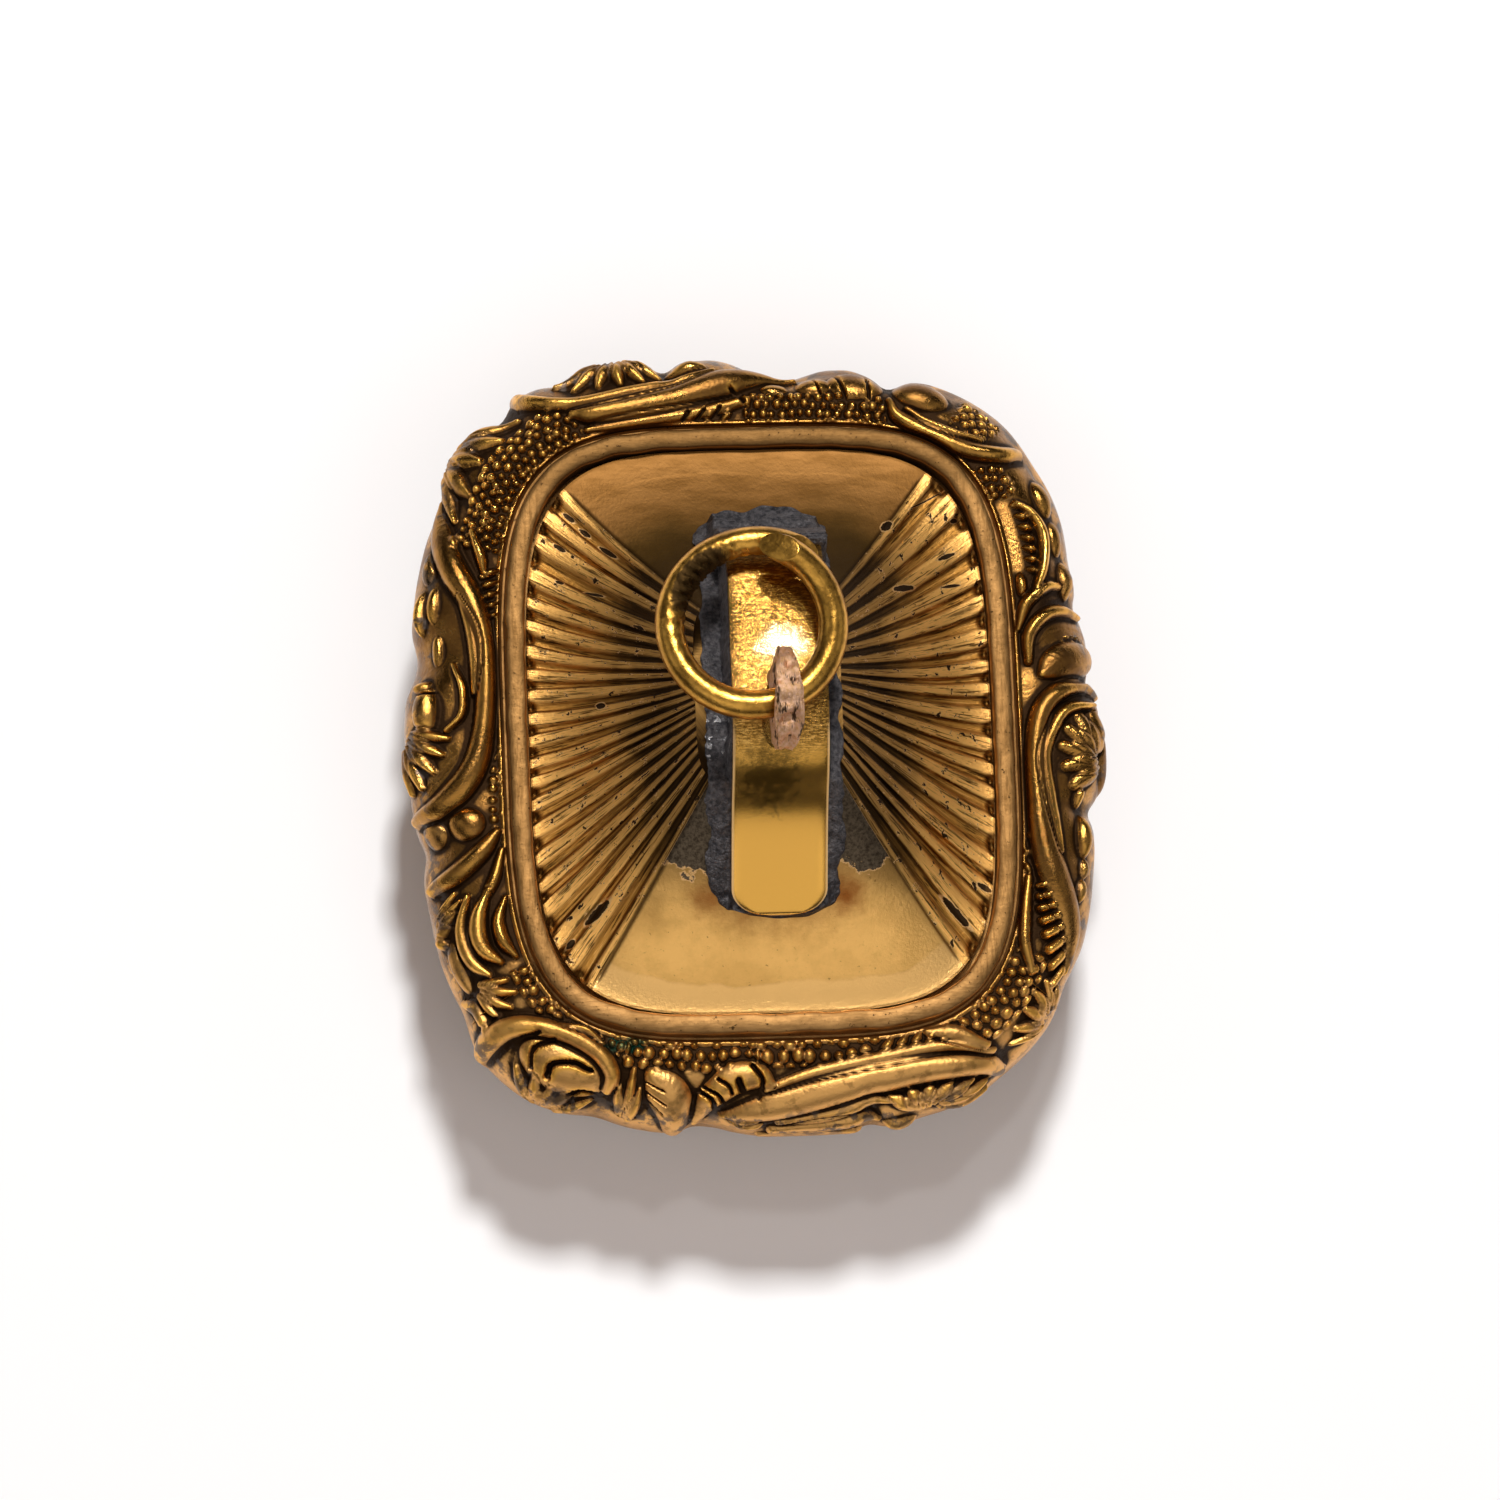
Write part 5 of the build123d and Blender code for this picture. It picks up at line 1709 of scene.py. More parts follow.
class Finish:
    """Base of the metal finishes: a material with its tree and coordinates in millimetres."""

    green = (0.004, 0.050, 0.028)
    green_at = (-5.2, -11.3, 7.2)
    green_reach = (1.4, 0.42, 2.0)

    def __init__(self, name: str, workshop: Workshop) -> None:
        """Start the material with a Principled shader.

        Args:
            name: the material's name.
            workshop: the shared groups.
        """
        self.workshop = workshop
        self.material = bpy.data.materials.new(name)
        self.material.use_nodes = True
        self.tree = Tree(self.material.node_tree)
        self.shader = self.material.node_tree.nodes["Principled BSDF"]
        place = self.tree.add("ShaderNodeTexCoord").outputs["Object"]
        self.place = self.tree.add("ShaderNodeMapping", {"Vector": place, "Scale": (1 / MM,) * 3}).outputs[0]

    def blotches(self, scale: float, level: float, softness: float = 0.05) -> Socket:
        """Irregular blotches over the piece.

        Args:
            scale: how many there are in a millimetre.
            level: level of the noise that they start at.
            softness: how soft their edges are.

        Returns:
            Their mask.
        """
        values = {"Place": self.place, "Scale": scale, "Level": level, "Softness": softness}
        return self.tree.use(self.workshop.blotches, values)

    def patch(self, middle: Triple, reach: Triple, ragged: float = 0.4, grain: float = 2.0,
              softness: float = 0.1, turn: float = 0.0) -> Socket:
        """One ragged patch on the piece.

        Args:
            middle: its middle in millimetres.
            reach: half its size each way.
            ragged: how far its edge wanders.
            grain: how fine the wandering is.
            softness: how soft its edge is.
            turn: its turn in degrees, seen from above.

        Returns:
            Its mask.
        """
        values = {"Place": self.place, "Middle": middle, "Reach": reach, "Ragged": ragged, "Grain": grain,
                  "Softness": softness, "Turn": -math.radians(turn)}
        return self.tree.use(self.workshop.patch, values)

    def brushed(self, stretch: Triple, scale: float,
                place: Socket | None = None) -> Socket:
        """Fine lines over the piece, on its own coordinates unless others are given."""
        values = {"Place": self.place if place is None else place, "Stretch": stretch, "Scale": scale}
        return self.tree.use(self.workshop.brushed, values)

    def axes(self) -> tuple[Socket, ...]:
        """Places to the right, to the back and up, in millimetres."""
        split = self.tree.add("ShaderNodeSeparateXYZ", {"Vector": self.place})
        return split.outputs["X"], split.outputs["Y"], split.outputs["Z"]

    def verdigris(self, colour: Socket) -> Socket:
        """A colour with the small green patch at the front left."""
        spot = self.patch(self.green_at, self.green_reach, 0.8, 3.0, 0.5)
        return self.tree.tint(colour, spot, self.green, 0.9)

    def wire(self, colour: Socket, roughness: Socket, metallic: Socket | float, height: Socket,
             strength: float, distance: float) -> bpy.types.Material:
        """Link the finished colour, gloss and relief to the shader.

        Args:
            colour: base colour.
            roughness: roughness.
            metallic: share of bare metal.
            height: height of the fine relief, from 0 to 1.
            strength: the bump's strength.
            distance: the bump's depth in millimetres.

        Returns:
            The finished material.
        """
        links = self.tree.graph.links
        links.new(colour, self.shader.inputs["Base Color"])
        links.new(roughness, self.shader.inputs["Roughness"])
        if isinstance(metallic, Socket):
            links.new(metallic, self.shader.inputs["Metallic"])
        else:
            self.shader.inputs["Metallic"].default_value = metallic
        values = {"Strength": strength, "Distance": distance * MM, "Height": height}
        bump = self.tree.add("ShaderNodeBump", values)
        links.new(bump.outputs["Normal"], self.shader.inputs["Normal"])
        return self.material


class ChasedGilt(Finish):
    """Gilt of the chased moulding: bright crests, near-black hollows of tarnish and painted shade, brown tops
    and grey wear.
    """

    bright = (0.86, 0.44, 0.080)
    gilt = (0.35, 0.165, 0.035)
    tan = (0.78, 0.41, 0.125)
    # Near-black colour of tarnish and of painted shade in the hollows.
    tarnish_and_shade = (0.030, 0.0125, 0.003)
    brown = (0.20, 0.09, 0.022)
    wear = (0.10, 0.075, 0.06)

    def make(self) -> bpy.types.Material:
        """Build the finish."""
        tree = self.tree
        crest, hollow, deep, across = (tree.attribute(name) for name in ("crest", "hollow", "deep", "across"))
        soft = tree.noise(self.place, 0.55, 6.0, 0.6)
        fine = tree.noise(self.place, 9.0, 5.0, 0.65)
        colour = tree.mix(tree.ramp(soft, 0.38, 0.62), self.gilt, self.brown)
        length = self.axes()[1]
        # Lighter tan on worn blotches of the lower moulding, and lighter towards the front.
        front = tree.ramp(tree.plus(length, tree.times(soft, 4.0)), -4.0, -9.0)
        rubbed = tree.times(self.blotches(0.9, 0.55, 0.08), tree.ramp(across, 0.25, 0.5))
        rubbed = tree.math("MAXIMUM", rubbed, tree.times(front, 0.9))
        colour = tree.mix(rubbed, colour, self.tan)
        colour = tree.mix(tree.ramp(crest, 0.15, 0.9), colour, self.bright)
        colour = tree.tint(colour, self.blotches(1.8, 0.57, 0.06), self.brown, 0.5)
        colour = tree.tint(colour, tree.ramp(across, 0.2, 0.1), self.brown, 0.45)
        # Tarnish with painted shade: hollows and wide recesses go near-black, crests less so, broken up by
        # fine noise.
        low = tree.plus(tree.times(hollow, 1.1), tree.times(deep, 0.7))
        low = tree.minus(low, tree.times(crest, 0.6))
        grime_and_shade = tree.ramp(tree.plus(low, tree.times(fine, 0.35)), 0.3, 0.85)
        colour = tree.mix(grime_and_shade, colour, self.tarnish_and_shade)
        belly = tree.times(tree.ramp(across, 0.3, 0.42), tree.ramp(across, 0.62, 0.48))
        worn = tree.times(belly, self.blotches(1.5, 0.54, 0.04))
        colour = tree.tint(colour, worn, self.wear, 0.85)
        under = tree.ramp(across, 0.5, 0.8)
        colour = tree.tint(colour, under, self.gilt, 0.7)
        colour = self.verdigris(colour)
        gloss = tree.blend(tree.ramp(soft, 0.4, 0.6), 0.16, 0.34)
        roughness = tree.blend(grime_and_shade, tree.blend(rubbed, gloss, 0.42), 0.6)
        metallic = tree.blend(grime_and_shade, 1.0, 0.9)
        height = tree.plus(fine, tree.times(tree.noise(self.place, 3.0, 5.0, 0.65), 0.9))
        return self.wire(colour, roughness, metallic, height, 0.5, 0.035)


class SatinGilt(Finish):
    """Gilt of the rim, the neck and the collet: satin tan with brown patches, pits and scratches, painted
    light at its front, painted shade at its back and painted highlight lines along the bead.
    """

    bright = (0.35, 0.180, 0.058)
    dark_gilt = (0.15, 0.071, 0.020)
    # light is the colour of painted light and painted highlight lines; dim is the colour of painted shade.
    light = (0.56, 0.31, 0.115)
    dim = (0.13, 0.064, 0.019)
    pit = (0.04, 0.018, 0.006)

    def make(self) -> bpy.types.Material:
        """Build the finish."""
        tree = self.tree
        fine = tree.noise(self.place, 6.0, 6.0, 0.7)
        sideways, length, level = self.axes()
        past_corner = tree.minus(tree.math("ABSOLUTE", sideways), tree.math("ABSOLUTE", length))
        at_side = tree.ramp(past_corner, -2.6, -1.4)
        streaks = tree.blend(at_side, self.brushed((0.6, 5.0, 5.0), 1.6), self.brushed((5.0, 0.6, 5.0), 1.6))
        colour = tree.tint(self.bright, tree.ramp(streaks, 0.42, 0.66), self.dark_gilt, 0.7)
        # Painted light and shade: the rim's front is lightened and its back darkened.
        front = tree.ramp(tree.plus(length, tree.times(streaks, 3.0)), -6.5, -9.5)
        colour = tree.tint(colour, front, self.light, 0.25)
        back = tree.ramp(length, 8.2, 9.6)
        colour = tree.tint(colour, back, self.dim, 0.7)
        colour = tree.tint(colour, self.blotches(1.1, 0.54, 0.10), self.dark_gilt, 0.4)
        colour = tree.tint(colour, self.blotches(6.0, 0.65, 0.02), self.pit, 0.9)
        # Painted highlight: light lines along the bead's shoulders.
        inner = tree.times(tree.ramp(level, 8.48, 8.53), tree.ramp(level, 8.63, 8.58))
        colour = tree.tint(colour, inner, self.light, 0.8)
        colour = self.verdigris(colour)
        roughness = tree.blend(fine, 0.44, 0.62)
        height = tree.plus(fine, tree.times(tree.noise(self.place, 1.2, 3.0), 2.0))
        return self.wire(colour, roughness, 1.0, height, 0.5, 0.03)


class CapGilt(Finish):
    """Gilt of the cap: clear on the ribs and the front panel, darker on the back panel as painted shade,
    brown in the flutes, and near-black towards the stem with painted shade and dirt.
    """

    clear = (0.90, 0.50, 0.145)
    cloud = (0.66, 0.35, 0.09)
    pale = (0.97, 0.56, 0.19)
    # Base colour of the back panel, darkened as painted shade.
    dark_gilt = (0.33, 0.155, 0.042)
    brown = (0.20, 0.088, 0.02)
    rib = (0.98, 0.52, 0.140)
    channel = (0.52, 0.24, 0.047)
    olive = (0.085, 0.045, 0.007)
    shadow = (0.028, 0.0125, 0.003)
    worn = (0.040, 0.022, 0.010)
    edge = (0.80, 0.47, 0.19)
    rust = (0.28, 0.080, 0.013)
    bare = (0.15, 0.11, 0.07)
    bare_low = (0.050, 0.034, 0.020)
    # Columns: middle and reach in millimetres, how strong.
    rust_places = (((0.2, -6.0, 10.6), (3.6, 2.1, 9), 0.85), ((-2.3, -6.5, 10.6), (0.9, 0.8, 9), 0.6),
                   ((2.7, -6.4, 10.6), (1.0, 0.9, 9), 0.95))
    # Columns: middle and reach in millimetres.
    bare_places = (((-2.6, -4.0, 10.6), (1.7, 1.9, 9)), ((3.3, -3.9, 10.6), (1.7, 1.8, 9)))

    def make(self) -> bpy.types.Material:
        """Build the finish."""
        tree = self.tree
        names = ("valley", "notch", "climb", "crease", "fluted", "step")
        valley, notch, climb, crease, fluted, step = (tree.attribute(name) for name in names)
        flat = tree.minus(1.0, fluted)
        along = tree.add("ShaderNodeUVMap", uv_map="along").outputs["UV"]
        streaks = self.brushed((420.0, 4.0, 1.0), 1.0, along)
        broad = self.brushed((170.0, 2.2, 1.0), 1.0, along)
        fine = tree.noise(self.place, 8.0, 5.0, 0.65)
        soft = tree.noise(self.place, 0.45, 5.0)
        behind = tree.times(tree.ramp(self.axes()[1], -1.0, 1.5), flat)
        fold = tree.times(tree.ramp(tree.plus(climb, tree.times(soft, 0.10)), 0.205, 0.185), flat)
        # The back panel gets a darker colour as painted shade.
        panels = tree.mix(behind, self.front_panel(soft, fold), self.back_panel(soft, climb))
        colour = tree.mix(fluted, panels, self.ribbed(valley, step, streaks, broad))
        seam = tree.ramp(tree.plus(climb, tree.times(fine, 0.01)), 0.020, 0.012)
        colour = tree.tint(colour, seam, self.brown, 0.8)
        # Painted shade with dirt: near-black towards the stem, deepest in the flutes; then painted shade
        # along the hip creases and in the pockets at the flutes' outer ends.
        near_stem = tree.ramp(tree.plus(climb, tree.times(soft, 0.5)), 0.54, 0.98)
        sunk = tree.times(fluted, tree.ramp(tree.plus(valley, streaks), 0.45, 0.95))
        dark = tree.times(near_stem, tree.blend(sunk, 0.6, 0.97))
        colour = tree.mix(dark, colour, self.shadow)
        colour = tree.tint(colour, crease, self.shadow, 0.8)
        colour = tree.tint(colour, tree.ramp(notch, 0.1, 0.6), self.shadow, 0.85)
        colour = self.worn_through(colour, along, tree.times(fluted, tree.ramp(valley, 0.7, 0.4)))
        colour = self.soldered(self.worn_spots(colour), flat, fine)
        satin = tree.blend(behind, tree.blend(fluted, tree.blend(fine, 0.24, 0.40), 0.46), 0.58)
        at_rim = tree.times(fluted, tree.ramp(climb, 0.05, 0.02))
        colour = tree.tint(colour, at_rim, self.brown, 0.25)
        roughness = tree.blend(dark, tree.blend(at_rim, satin, 0.4), 0.5)
        metallic = tree.blend(dark, 1.0, 0.93)
        height = tree.plus(fine, tree.times(streaks, tree.times(fluted, 2.0)))
        height = tree.plus(height, tree.times(fold, 0.35))
        return self.wire(colour, roughness, metallic, height, 0.45, 0.04)

    def ribbed(self, valley: Socket, step: Socket, streaks: Socket, broad: Socket) -> Socket:
        """Colour of the flutes and the ribs between them.

        Args:
            valley: depth across a flute, as a share.
            step: 1 on a flute's steep wall.
            streaks: fine lines along the flutes.
            broad: broader lines along them.

        Returns:
            The colour.
        """
        tree = self.tree
        in_channel = tree.ramp(tree.plus(valley, tree.times(broad, 0.9)), 0.5, 1.2)
        colour = tree.mix(in_channel, self.rib, self.channel)
        # Painted shade on each flute's steep wall.
        colour = tree.tint(colour, step, self.shadow, 0.8)
        colour = tree.tint(colour, tree.ramp(streaks, 0.46, 0.38), self.rib, 0.5)
        colour = tree.tint(colour, tree.ramp(streaks, 0.54, 0.62), self.shadow, 0.85)
        return tree.tint(colour, tree.ramp(broad, 0.57, 0.68), self.shadow, 0.7)

    def front_panel(self, soft: Socket, fold: Socket) -> Socket:
        """Colour of the clear front panel.

        Args:
            soft: broad noise.
            fold: mask of the pale fold along the rim.

        Returns:
            The colour.
        """
        tree = self.tree
        colour = tree.tint(self.clear, tree.ramp(soft, 0.42, 0.66), self.cloud, 0.4)
        colour = tree.tint(colour, self.blotches(1.3, 0.52, 0.14), self.cloud, 0.4)
        colour = tree.tint(colour, self.blotches(5.0, 0.68, 0.015), self.brown, 0.6)
        colour = tree.tint(colour, self.blotches(6.0, 0.64, 0.03), self.cloud, 0.35)
        return tree.tint(colour, fold, self.pale, 0.85)

    def back_panel(self, soft: Socket, climb: Socket) -> Socket:
        """Colour of the back panel: darker as painted shade, and darker still towards the stem.

        Args:
            soft: broad noise.
            climb: share of the way up from the rim.

        Returns:
            The colour.
        """
        tree = self.tree
        smears = tree.ramp(self.brushed((0.4, 1.4, 1.0), 1.1), 0.36, 0.68)
        colour = tree.tint(self.dark_gilt, smears, self.brown, 0.8)
        low_down = tree.plus(climb, tree.times(soft, 0.3))
        # Painted shade: darker olive towards the stem.
        return tree.tint(colour, tree.ramp(low_down, 0.38, 0.72), self.olive, 0.85)

    def soldered(self, colour: Socket, flat: Socket, fine: Socket) -> Socket:
        """Rust and bare metal that the soldering left beside the lead.

        Args:
            colour: the colour under them.
            flat: 1 on the plain panels.
            fine: fine noise.

        Returns:
            The colour with them.
        """
        tree = self.tree
        for middle, reach, strong in self.rust_places:
            colour = tree.tint(colour, self.patch(middle, reach, 0.5, 1.6, 1.0), self.rust, strong)
        for middle, reach in self.bare_places:
            edge = tree.times(self.patch(middle, reach, 0.5, 1.4, 0.16), flat)
            colour = tree.mix(tree.ramp(edge, 0.0, 0.5), colour, self.edge)
            bare = tree.mix(tree.ramp(fine, 0.3, 0.7), self.bare_low, self.bare)
            colour = tree.mix(tree.ramp(edge, 0.55, 0.75), colour, bare)
        return colour

    def worn_spots(self, colour: Socket) -> Socket:
        """Lay the larger worn places that the table names, dark with pale edges.

        Args:
            colour: the colour under them.

        Returns:
            The colour with them.
        """
        spots = [self.patch((x, y, 9.0), (half_long, half_wide, 9.0), 0.35, 3.5, 0.7, turn)
                 for x, y, half_long, half_wide, turn in WORN_PLACES]
        worn = reduce(partial(self.tree.math, "MAXIMUM"), spots)
        colour = self.tree.tint(colour, self.tree.ramp(worn, 0.0, 0.25), self.edge, 0.8)
        return self.tree.mix(self.tree.ramp(worn, 0.35, 0.5), colour, self.worn)

    def worn_through(self, colour: Socket, along: Socket, where: Socket) -> Socket:
        """Dark worn spots, drawn out along the ribs, with pale edges.

        Args:
            colour: the colour under the spots.
            along: coordinates round and along the flutes.
            where: share of the surface that the spots may take.

        Returns:
            The colour with the spots.
        """
        tree = self.tree
        spots = tree.times(self.brushed((95.0, 14.0, 1.0), 1.0, along), where)
        colour = tree.tint(colour, tree.ramp(spots, 0.60, 0.615), self.edge, 0.8)
        colour = tree.mix(tree.ramp(spots, 0.625, 0.64), colour, self.worn)
        dots = tree.times(self.blotches(3.2, 0.665, 0.012), where)
        return tree.mix(dots, colour, self.worn)


class BrushedGold(Finish):
    """Bright yellow gold of the strap with fine scratches across it, a painted highlight behind the eye,
    painted shade further back, a painted dark reflection with tarnish on its steep front and a painted
    highlight outline at the front.
    """

    bright = (0.90, 0.475, 0.09)
    speck = (0.44, 0.225, 0.048)
    deep = (0.18, 0.085, 0.014)
    # Dark colour of tarnish and of the painted dark reflection on the steep front.
    tarnish_and_shade = (0.085, 0.045, 0.008)
    # Near-white colour of the painted highlight behind the eye.
    polished = (1.0, 0.80, 0.48)
    glint = (0.80, 0.47, 0.13)
    # Pale colour of the painted highlight outline.
    edge = (0.86, 0.56, 0.25)

    def make(self) -> bpy.types.Material:
        """Build the finish."""
        tree = self.tree
        lines = self.brushed((1.0, 5.0, 5.0), 3.4)
        fine = tree.noise(self.place, 12.0, 4.0, 0.7)
        _, length, level = self.axes()
        rubbed = tree.ramp(level, 13.4, 14.2)
        speckle = tree.times(tree.times(fine, lines), 3.4)
        colour = tree.mix(tree.ramp(speckle, 0.6, 1.05), self.deep, self.speck)
        grain = self.brushed((1.0, 2.4, 2.4), 9.0)
        # Painted shade: the strap's top darkens towards the back, beyond the highlight.
        far = tree.ramp(tree.plus(length, tree.times(lines, 1.5)), 2.4, 3.8)
        colour = tree.tint(colour, far, self.deep, 0.6)
        glints = tree.times(tree.ramp(lines, 0.50, 0.62), 0.5)
        colour = tree.mix(glints, colour, self.glint)
        # Painted highlight: a near-white patch on the strap's top behind the eye.
        polished = self.patch((0.4, 1.7, 14.3), (1.15, 0.85, 2.0), 0.5, 3.0, 0.8)
        colour = tree.tint(colour, polished, self.polished, 0.9)
        colour = tree.mix(tree.minus(1.0, rubbed), colour, self.bright)
        # Painted dark reflection with some tarnish on the steep front of the arch.
        tarnish_and_dark_reflection = self.patch((-0.1, -2.6, 12.8), (1.5, 1.5, 2.4), 0.9, 3.5, 0.7)
        colour = tree.tint(colour, tarnish_and_dark_reflection, self.tarnish_and_shade, 0.7)
        # Painted highlight: a pale, less metallic outline along the front part of the strap's edges and its
        # end.
        rim = tree.times(tree.ramp(tree.attribute("rim"), 0.5, 0.9), tree.ramp(length, -0.8, -1.8))
        colour = tree.tint(colour, rim, self.edge, 0.8)
        gloss = tree.blend(rubbed, 0.22, tree.blend(tree.ramp(grain, 0.4, 0.62), 0.10, 0.24))
        roughness = tree.blend(rim, gloss, 0.4)
        height = tree.times(grain, tree.blend(rubbed, 0.15, 1.6))
        return self.wire(colour, roughness, tree.blend(rim, 1.0, 0.3), height, 0.4, 0.03)


class RubbedEye(Finish):
    """Worn pinkish metal of the eye's rim over gold cheeks."""

    rubbed = (0.78, 0.49, 0.33)
    gold = (0.62, 0.34, 0.14)
    slit = (0.08, 0.045, 0.025)

    def make(self) -> bpy.types.Material:
        """Build the finish."""
        tree = self.tree
        fine = tree.noise(self.place, 6.0, 6.0, 0.7)
        lines = self.brushed((5.0, 1.0, 1.0), 1.1)
        colour = tree.mix(tree.ramp(fine, 0.35, 0.7), self.rubbed, self.gold)
        colour = tree.mix(tree.ramp(lines, 0.55, 0.63), colour, self.slit)
        roughness = tree.blend(fine, 0.4, 0.62)
        height = tree.minus(fine, tree.times(lines, 1.5))
        return self.wire(colour, roughness, 1.0, height, 0.7, 0.08)


class WireGold(Finish):
    """Polished yellow wire of the jump ring with small dints."""

    bright = (0.66, 0.34, 0.060)
    deep = (0.34, 0.165, 0.026)
    crusted = (0.06, 0.032, 0.010)

    def make(self) -> bpy.types.Material:
        """Build the finish."""
        tree = self.tree
        fine = tree.noise(self.place, 7.0, 5.0, 0.65)
        colour = tree.tint(self.bright, self.blotches(1.4, 0.52, 0.12), self.deep, 0.85)
        crust = tree.ramp(tree.plus(tree.attribute("crust"), tree.times(fine, 0.4)), 0.45, 0.75)
        colour = tree.mix(crust, colour, self.crusted)
        roughness = tree.blend(crust, tree.blend(fine, 0.22, 0.36), 0.6)
        height = tree.plus(fine, tree.times(tree.noise(self.place, 1.1, 3.0), 6.0))
        return self.wire(colour, roughness, 1.0, height, 0.4, 0.025)


class OldLead(Finish):
    """Matt grey lead solder with small glossier grains and a few painted glints beside the strap."""

    grey = (0.040, 0.038, 0.042)
    pale = (0.17, 0.155, 0.155)
    painted_glint = (0.62, 0.60, 0.60)

    def make(self) -> bpy.types.Material:
        """Build the finish."""
        tree = self.tree
        fine = tree.noise(self.place, 5.0, 6.0, 0.7)
        grains = self.blotches(9.0, 0.68, 0.03)
        colour = tree.mix(tree.ramp(fine, 0.3, 0.75), self.grey, self.pale)
        # Painted glints: a few near-white spots on the lead left of the strap.
        beads = tree.times(self.blotches(4.5, 0.6, 0.02), self.patch((-2.0, -1.1, 10), (0.9, 1.0, 9)))
        colour = tree.tint(colour, beads, self.painted_glint, 0.9)
        roughness = tree.blend(tree.math("MAXIMUM", grains, beads), 0.5, 0.2)
        height = tree.plus(fine, tree.times(tree.noise(self.place, 1.6, 4.0), 2.5))
        return self.wire(colour, roughness, 0.9, height, 0.9, 0.12)


class PolishedStone(Finish):
    """Plain polished carnelian."""

    deep = (0.20, 0.025, 0.008)
    clear = (0.42, 0.075, 0.02)

    def make(self) -> bpy.types.Material:
        """Build the finish."""
        tree = self.tree
        cloud = tree.noise(self.place, 0.22, 3.0)
        colour = tree.mix(tree.ramp(cloud, 0.35, 0.7), self.deep, self.clear)
        fine = tree.noise(self.place, 4.0, 3.0)
        roughness = tree.blend(fine, 0.06, 0.14)
        self.shader.inputs["Coat Weight"].default_value = 0.5
        self.shader.inputs["Coat Roughness"].default_value = 0.05
        return self.wire(colour, roughness, 0.0, fine, 0.05, 0.01)


@dataclass(frozen=True)
class Softbox:
    """One square soft light, aimed at the object."""

    name: str
    azimuth: float
    elevation: float
    distance: float
    size: float
    watts: float
    colour: Triple = (1.0, 1.0, 1.0)
    in_reflections: bool = True

    def place(self, aim: Vector) -> None:
        """Stand the light in the scene.

        Args:
            aim: the point that it shines at, in metres.
        """
        data = bpy.data.lights.new(self.name, "AREA")
        data.shape = "SQUARE"
        data.size = self.size
        data.energy = self.watts
        data.color = self.colour
        lamp = bpy.data.objects.new(self.name, data)
        towards = compass(self.azimuth, self.elevation)
        lamp.location = aim + towards * self.distance
        lamp.rotation_euler = (-towards).to_track_quat("-Z", "Y").to_euler()
        lamp.visible_camera = False
        lamp.visible_glossy = self.in_reflections
        bpy.context.scene.collection.objects.link(lamp)


def compass(azimuth: float, elevation: float) -> Vector:
    """Direction from the object to a viewer; azimuth 0 is the front, 90 the right side."""
    a, e = math.radians(azimuth), math.radians(elevation)
    return Vector((math.sin(a) * math.cos(e), -math.cos(a) * math.cos(e), math.sin(e)))


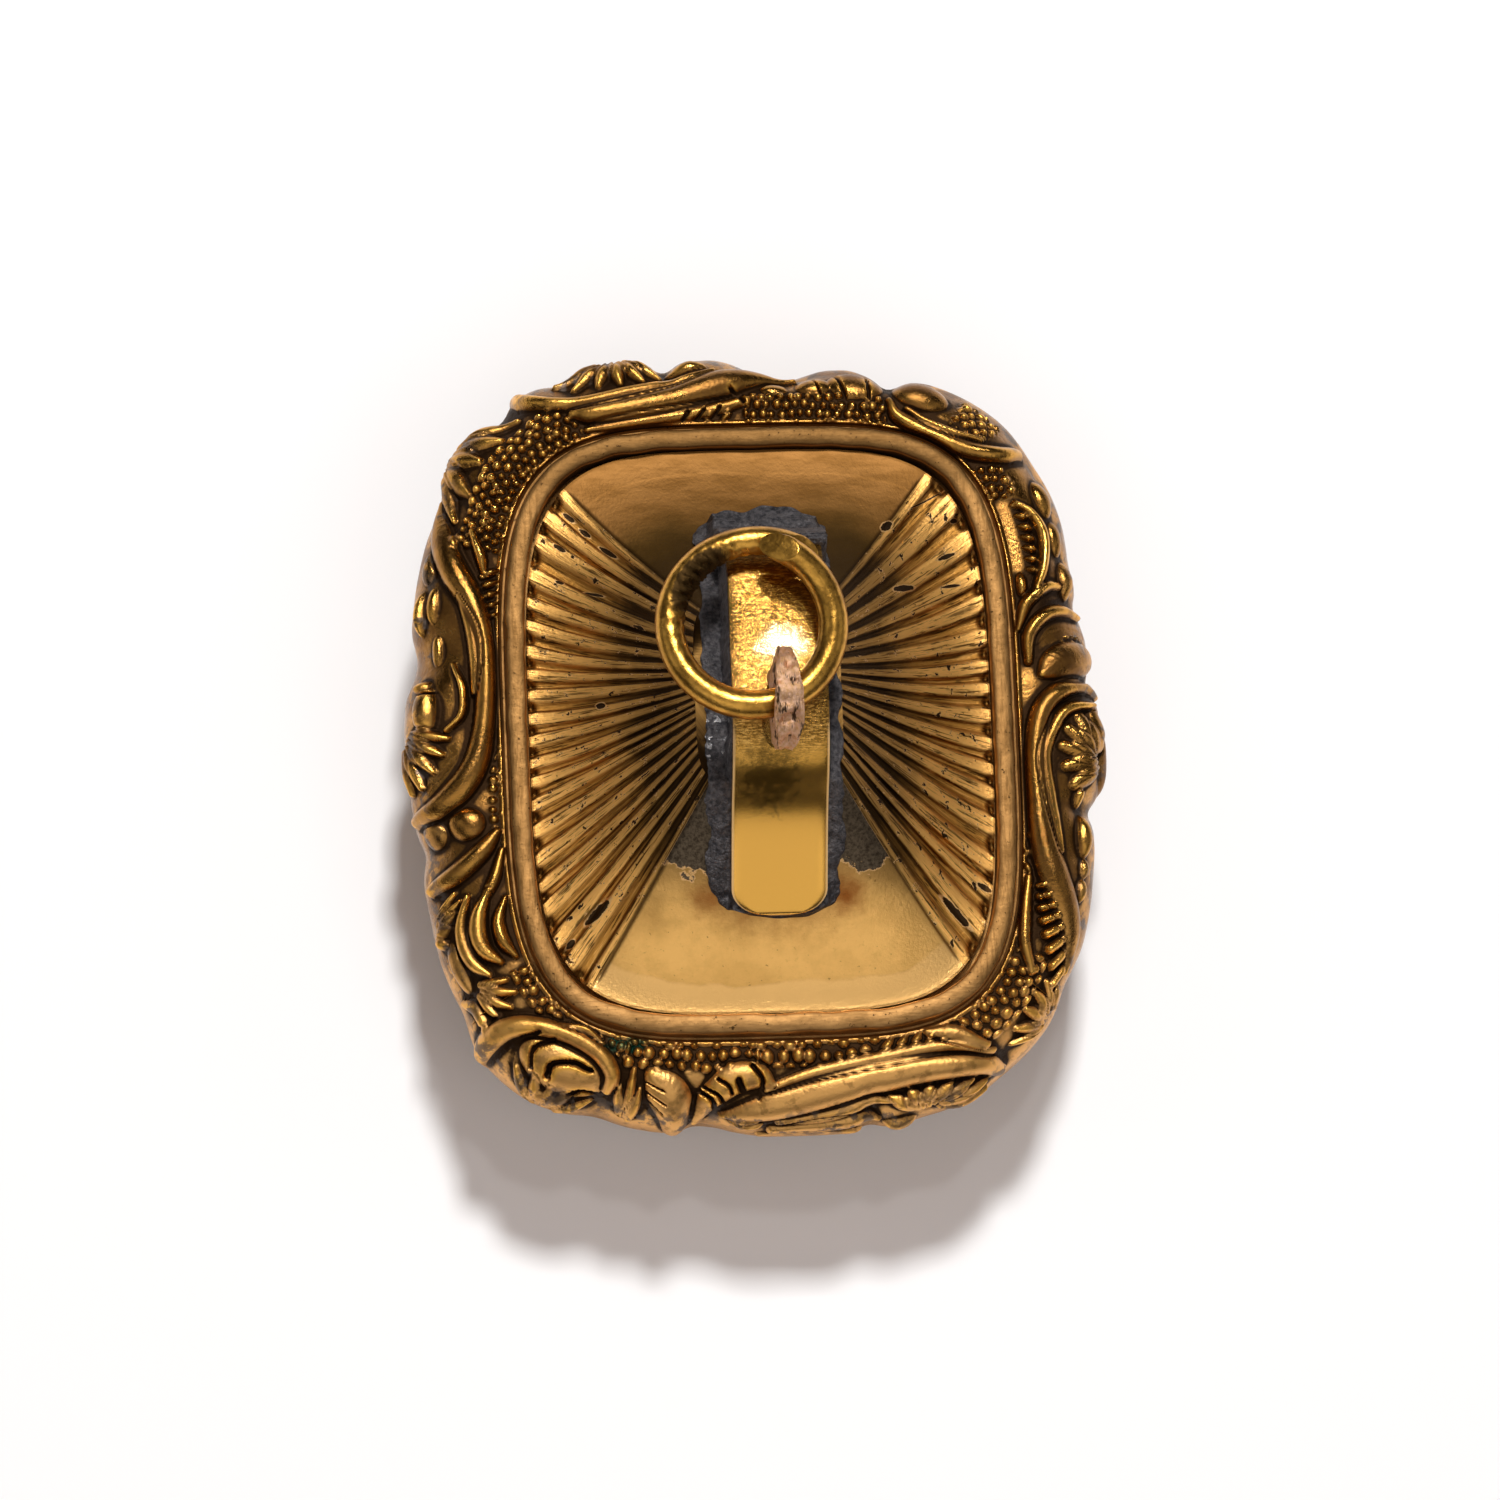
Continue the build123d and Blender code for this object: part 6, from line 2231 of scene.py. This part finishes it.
@dataclass
class Studio:
    """Pale floor, soft lights and the camera at the photograph's angle."""

    aim: Vector = field(default_factory=lambda: Vector((0, 0, 7.5)) * MM)
    azimuth: float = -19.6
    elevation: float = 76.2
    roll: float = 2.3
    distance: float = 0.4
    image_pixels: float = 1500.0
    pixels_per_mm: float = 28.0
    aim_pixel: tuple[float, float] = (759.0, 735.0)
    sensor: float = 36.0
    floor_size: float = 4.0

    def lights(self) -> tuple[Softbox, ...]:
        """The soft lights."""
        return (
            Softbox("key", 176, 60.5, 0.6, 0.075, 2.9, (0.98, 0.99, 1.0)),
            Softbox("front", 2, 54, 0.5, 0.50, 0.56),
            Softbox("top", 165, 78, 0.5, 0.03, 0.14),
            Softbox("front left", -42, 50, 0.5, 0.25, 0.10),
            Softbox("front right", 44, 50, 0.5, 0.25, 0.10),
            Softbox("left", -92, 38, 0.5, 0.26, 0.12),
            Softbox("right", 92, 34, 0.5, 0.26, 0.10),
            Softbox("shadow fill", 0, 85, 0.6, 0.6, 0.40, (1.0, 0.52, 0.34), False),
        )

    def build_camera(self) -> None:
        """Stand the camera where the photograph was taken from."""
        back = compass(self.azimuth, self.elevation)
        lean = math.radians(self.roll)
        right = Vector((math.sin(lean), math.cos(lean), 0)).cross(back).normalized()
        up = back.cross(right)
        to_mm = MM / self.pixels_per_mm
        off_x = (self.aim_pixel[0] - self.image_pixels / 2) * to_mm
        off_y = (self.image_pixels / 2 - self.aim_pixel[1]) * to_mm
        data = bpy.data.cameras.new("camera")
        data.sensor_width = self.sensor
        data.lens = self.sensor * self.distance / (self.image_pixels * to_mm)
        data.clip_start, data.clip_end = 0.01, 10.0
        camera = bpy.data.objects.new("camera", data)
        turn = Matrix((right, up, back)).transposed()
        camera.matrix_world = Matrix.Translation(
            self.aim + back * self.distance - right * off_x - up * off_y) @ turn.to_4x4()
        bpy.context.scene.collection.objects.link(camera)
        bpy.context.scene.camera = camera

    def build_floor(self) -> None:
        """Lay the floor that the seal stands on."""
        bm = bmesh.new()
        bmesh.ops.create_grid(bm, x_segments=1, y_segments=1, size=self.floor_size / 2)
        mesh = bpy.data.meshes.new("floor")
        bm.to_mesh(mesh)
        bm.free()
        floor = bpy.data.objects.new("floor", mesh)
        bpy.context.scene.collection.objects.link(floor)
        paper = bpy.data.materials.new("white paper")
        paper.use_nodes = True
        shader = paper.node_tree.nodes["Principled BSDF"]
        shader.inputs["Base Color"].default_value = (0.97, 0.97, 0.97, 1)
        shader.inputs["Roughness"].default_value = 0.9
        shader.inputs["Specular IOR Level"].default_value = 0.1
        mesh.materials.append(paper)

    def build_world(self) -> None:
        """Set the dim room round the seal, pale where the camera sees it."""
        world = bpy.data.worlds.new("room")
        world.use_nodes = True
        tree = Tree(world.node_tree)
        ground = world.node_tree.nodes["Background"]
        ground.inputs["Color"].default_value = (1.0, 0.93, 0.88, 1)
        seen = tree.add("ShaderNodeLightPath").outputs["Is Camera Ray"]
        world.node_tree.links.new(tree.blend(seen, 0.035, 0.9), ground.inputs["Strength"])
        bpy.context.scene.world = world
        bpy.context.scene.view_settings.view_transform = "Standard"

    def build(self) -> None:
        """Build floor, world, lights and camera."""
        self.build_floor()
        self.build_world()
        for light in self.lights():
            light.place(self.aim)
        self.build_camera()


def dress_stone(finish: bpy.types.Material) -> None:
    """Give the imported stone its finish."""
    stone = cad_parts["seal_stone"]
    stone.data.materials.clear()
    stone.data.materials.append(finish)


def main() -> None:
    """Build the seal and its studio."""
    logging.basicConfig(level=logging.INFO, format="%(message)s")
    workshop = Workshop(blotch_group(), patch_group(), brushed_group())
    cap_low, cap_high = (np.array(corner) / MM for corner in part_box("top_plate"))
    solder_low, solder_high = (np.array(corner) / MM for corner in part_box("hanger"))
    cap_rise, above_groove = 3.9, 0.13
    width, length = cap_high[:2] - cap_low[:2] + 2 * FlutedCap.edge_inset
    rim = Rim(width, length)
    level = float(cap_high[2]) - cap_rise
    border = Border(rim, level - above_groove, ChasedGilt("chased gilt", workshop).make(),
                    SatinGilt("satin gilt", workshop).make())
    border.build()
    cap = FlutedCap(rim, level, cap_rise, CapGilt("cap gilt", workshop).make())
    cap.build()
    strap_middle = float(solder_low[0] + solder_high[0]) / 2
    hanger = Hanger(cap, strap_middle, BrushedGold("brushed gold", workshop).make(),
                    RubbedEye("rubbed eye", workshop).make(), OldLead("old lead", workshop).make())
    hanger.build()
    JumpRing(hanger.axle, WireGold("wire gold", workshop).make()).build()
    dress_stone(PolishedStone("polished stone", workshop).make())
    Studio().build()


if __name__ == "__main__":
    main()
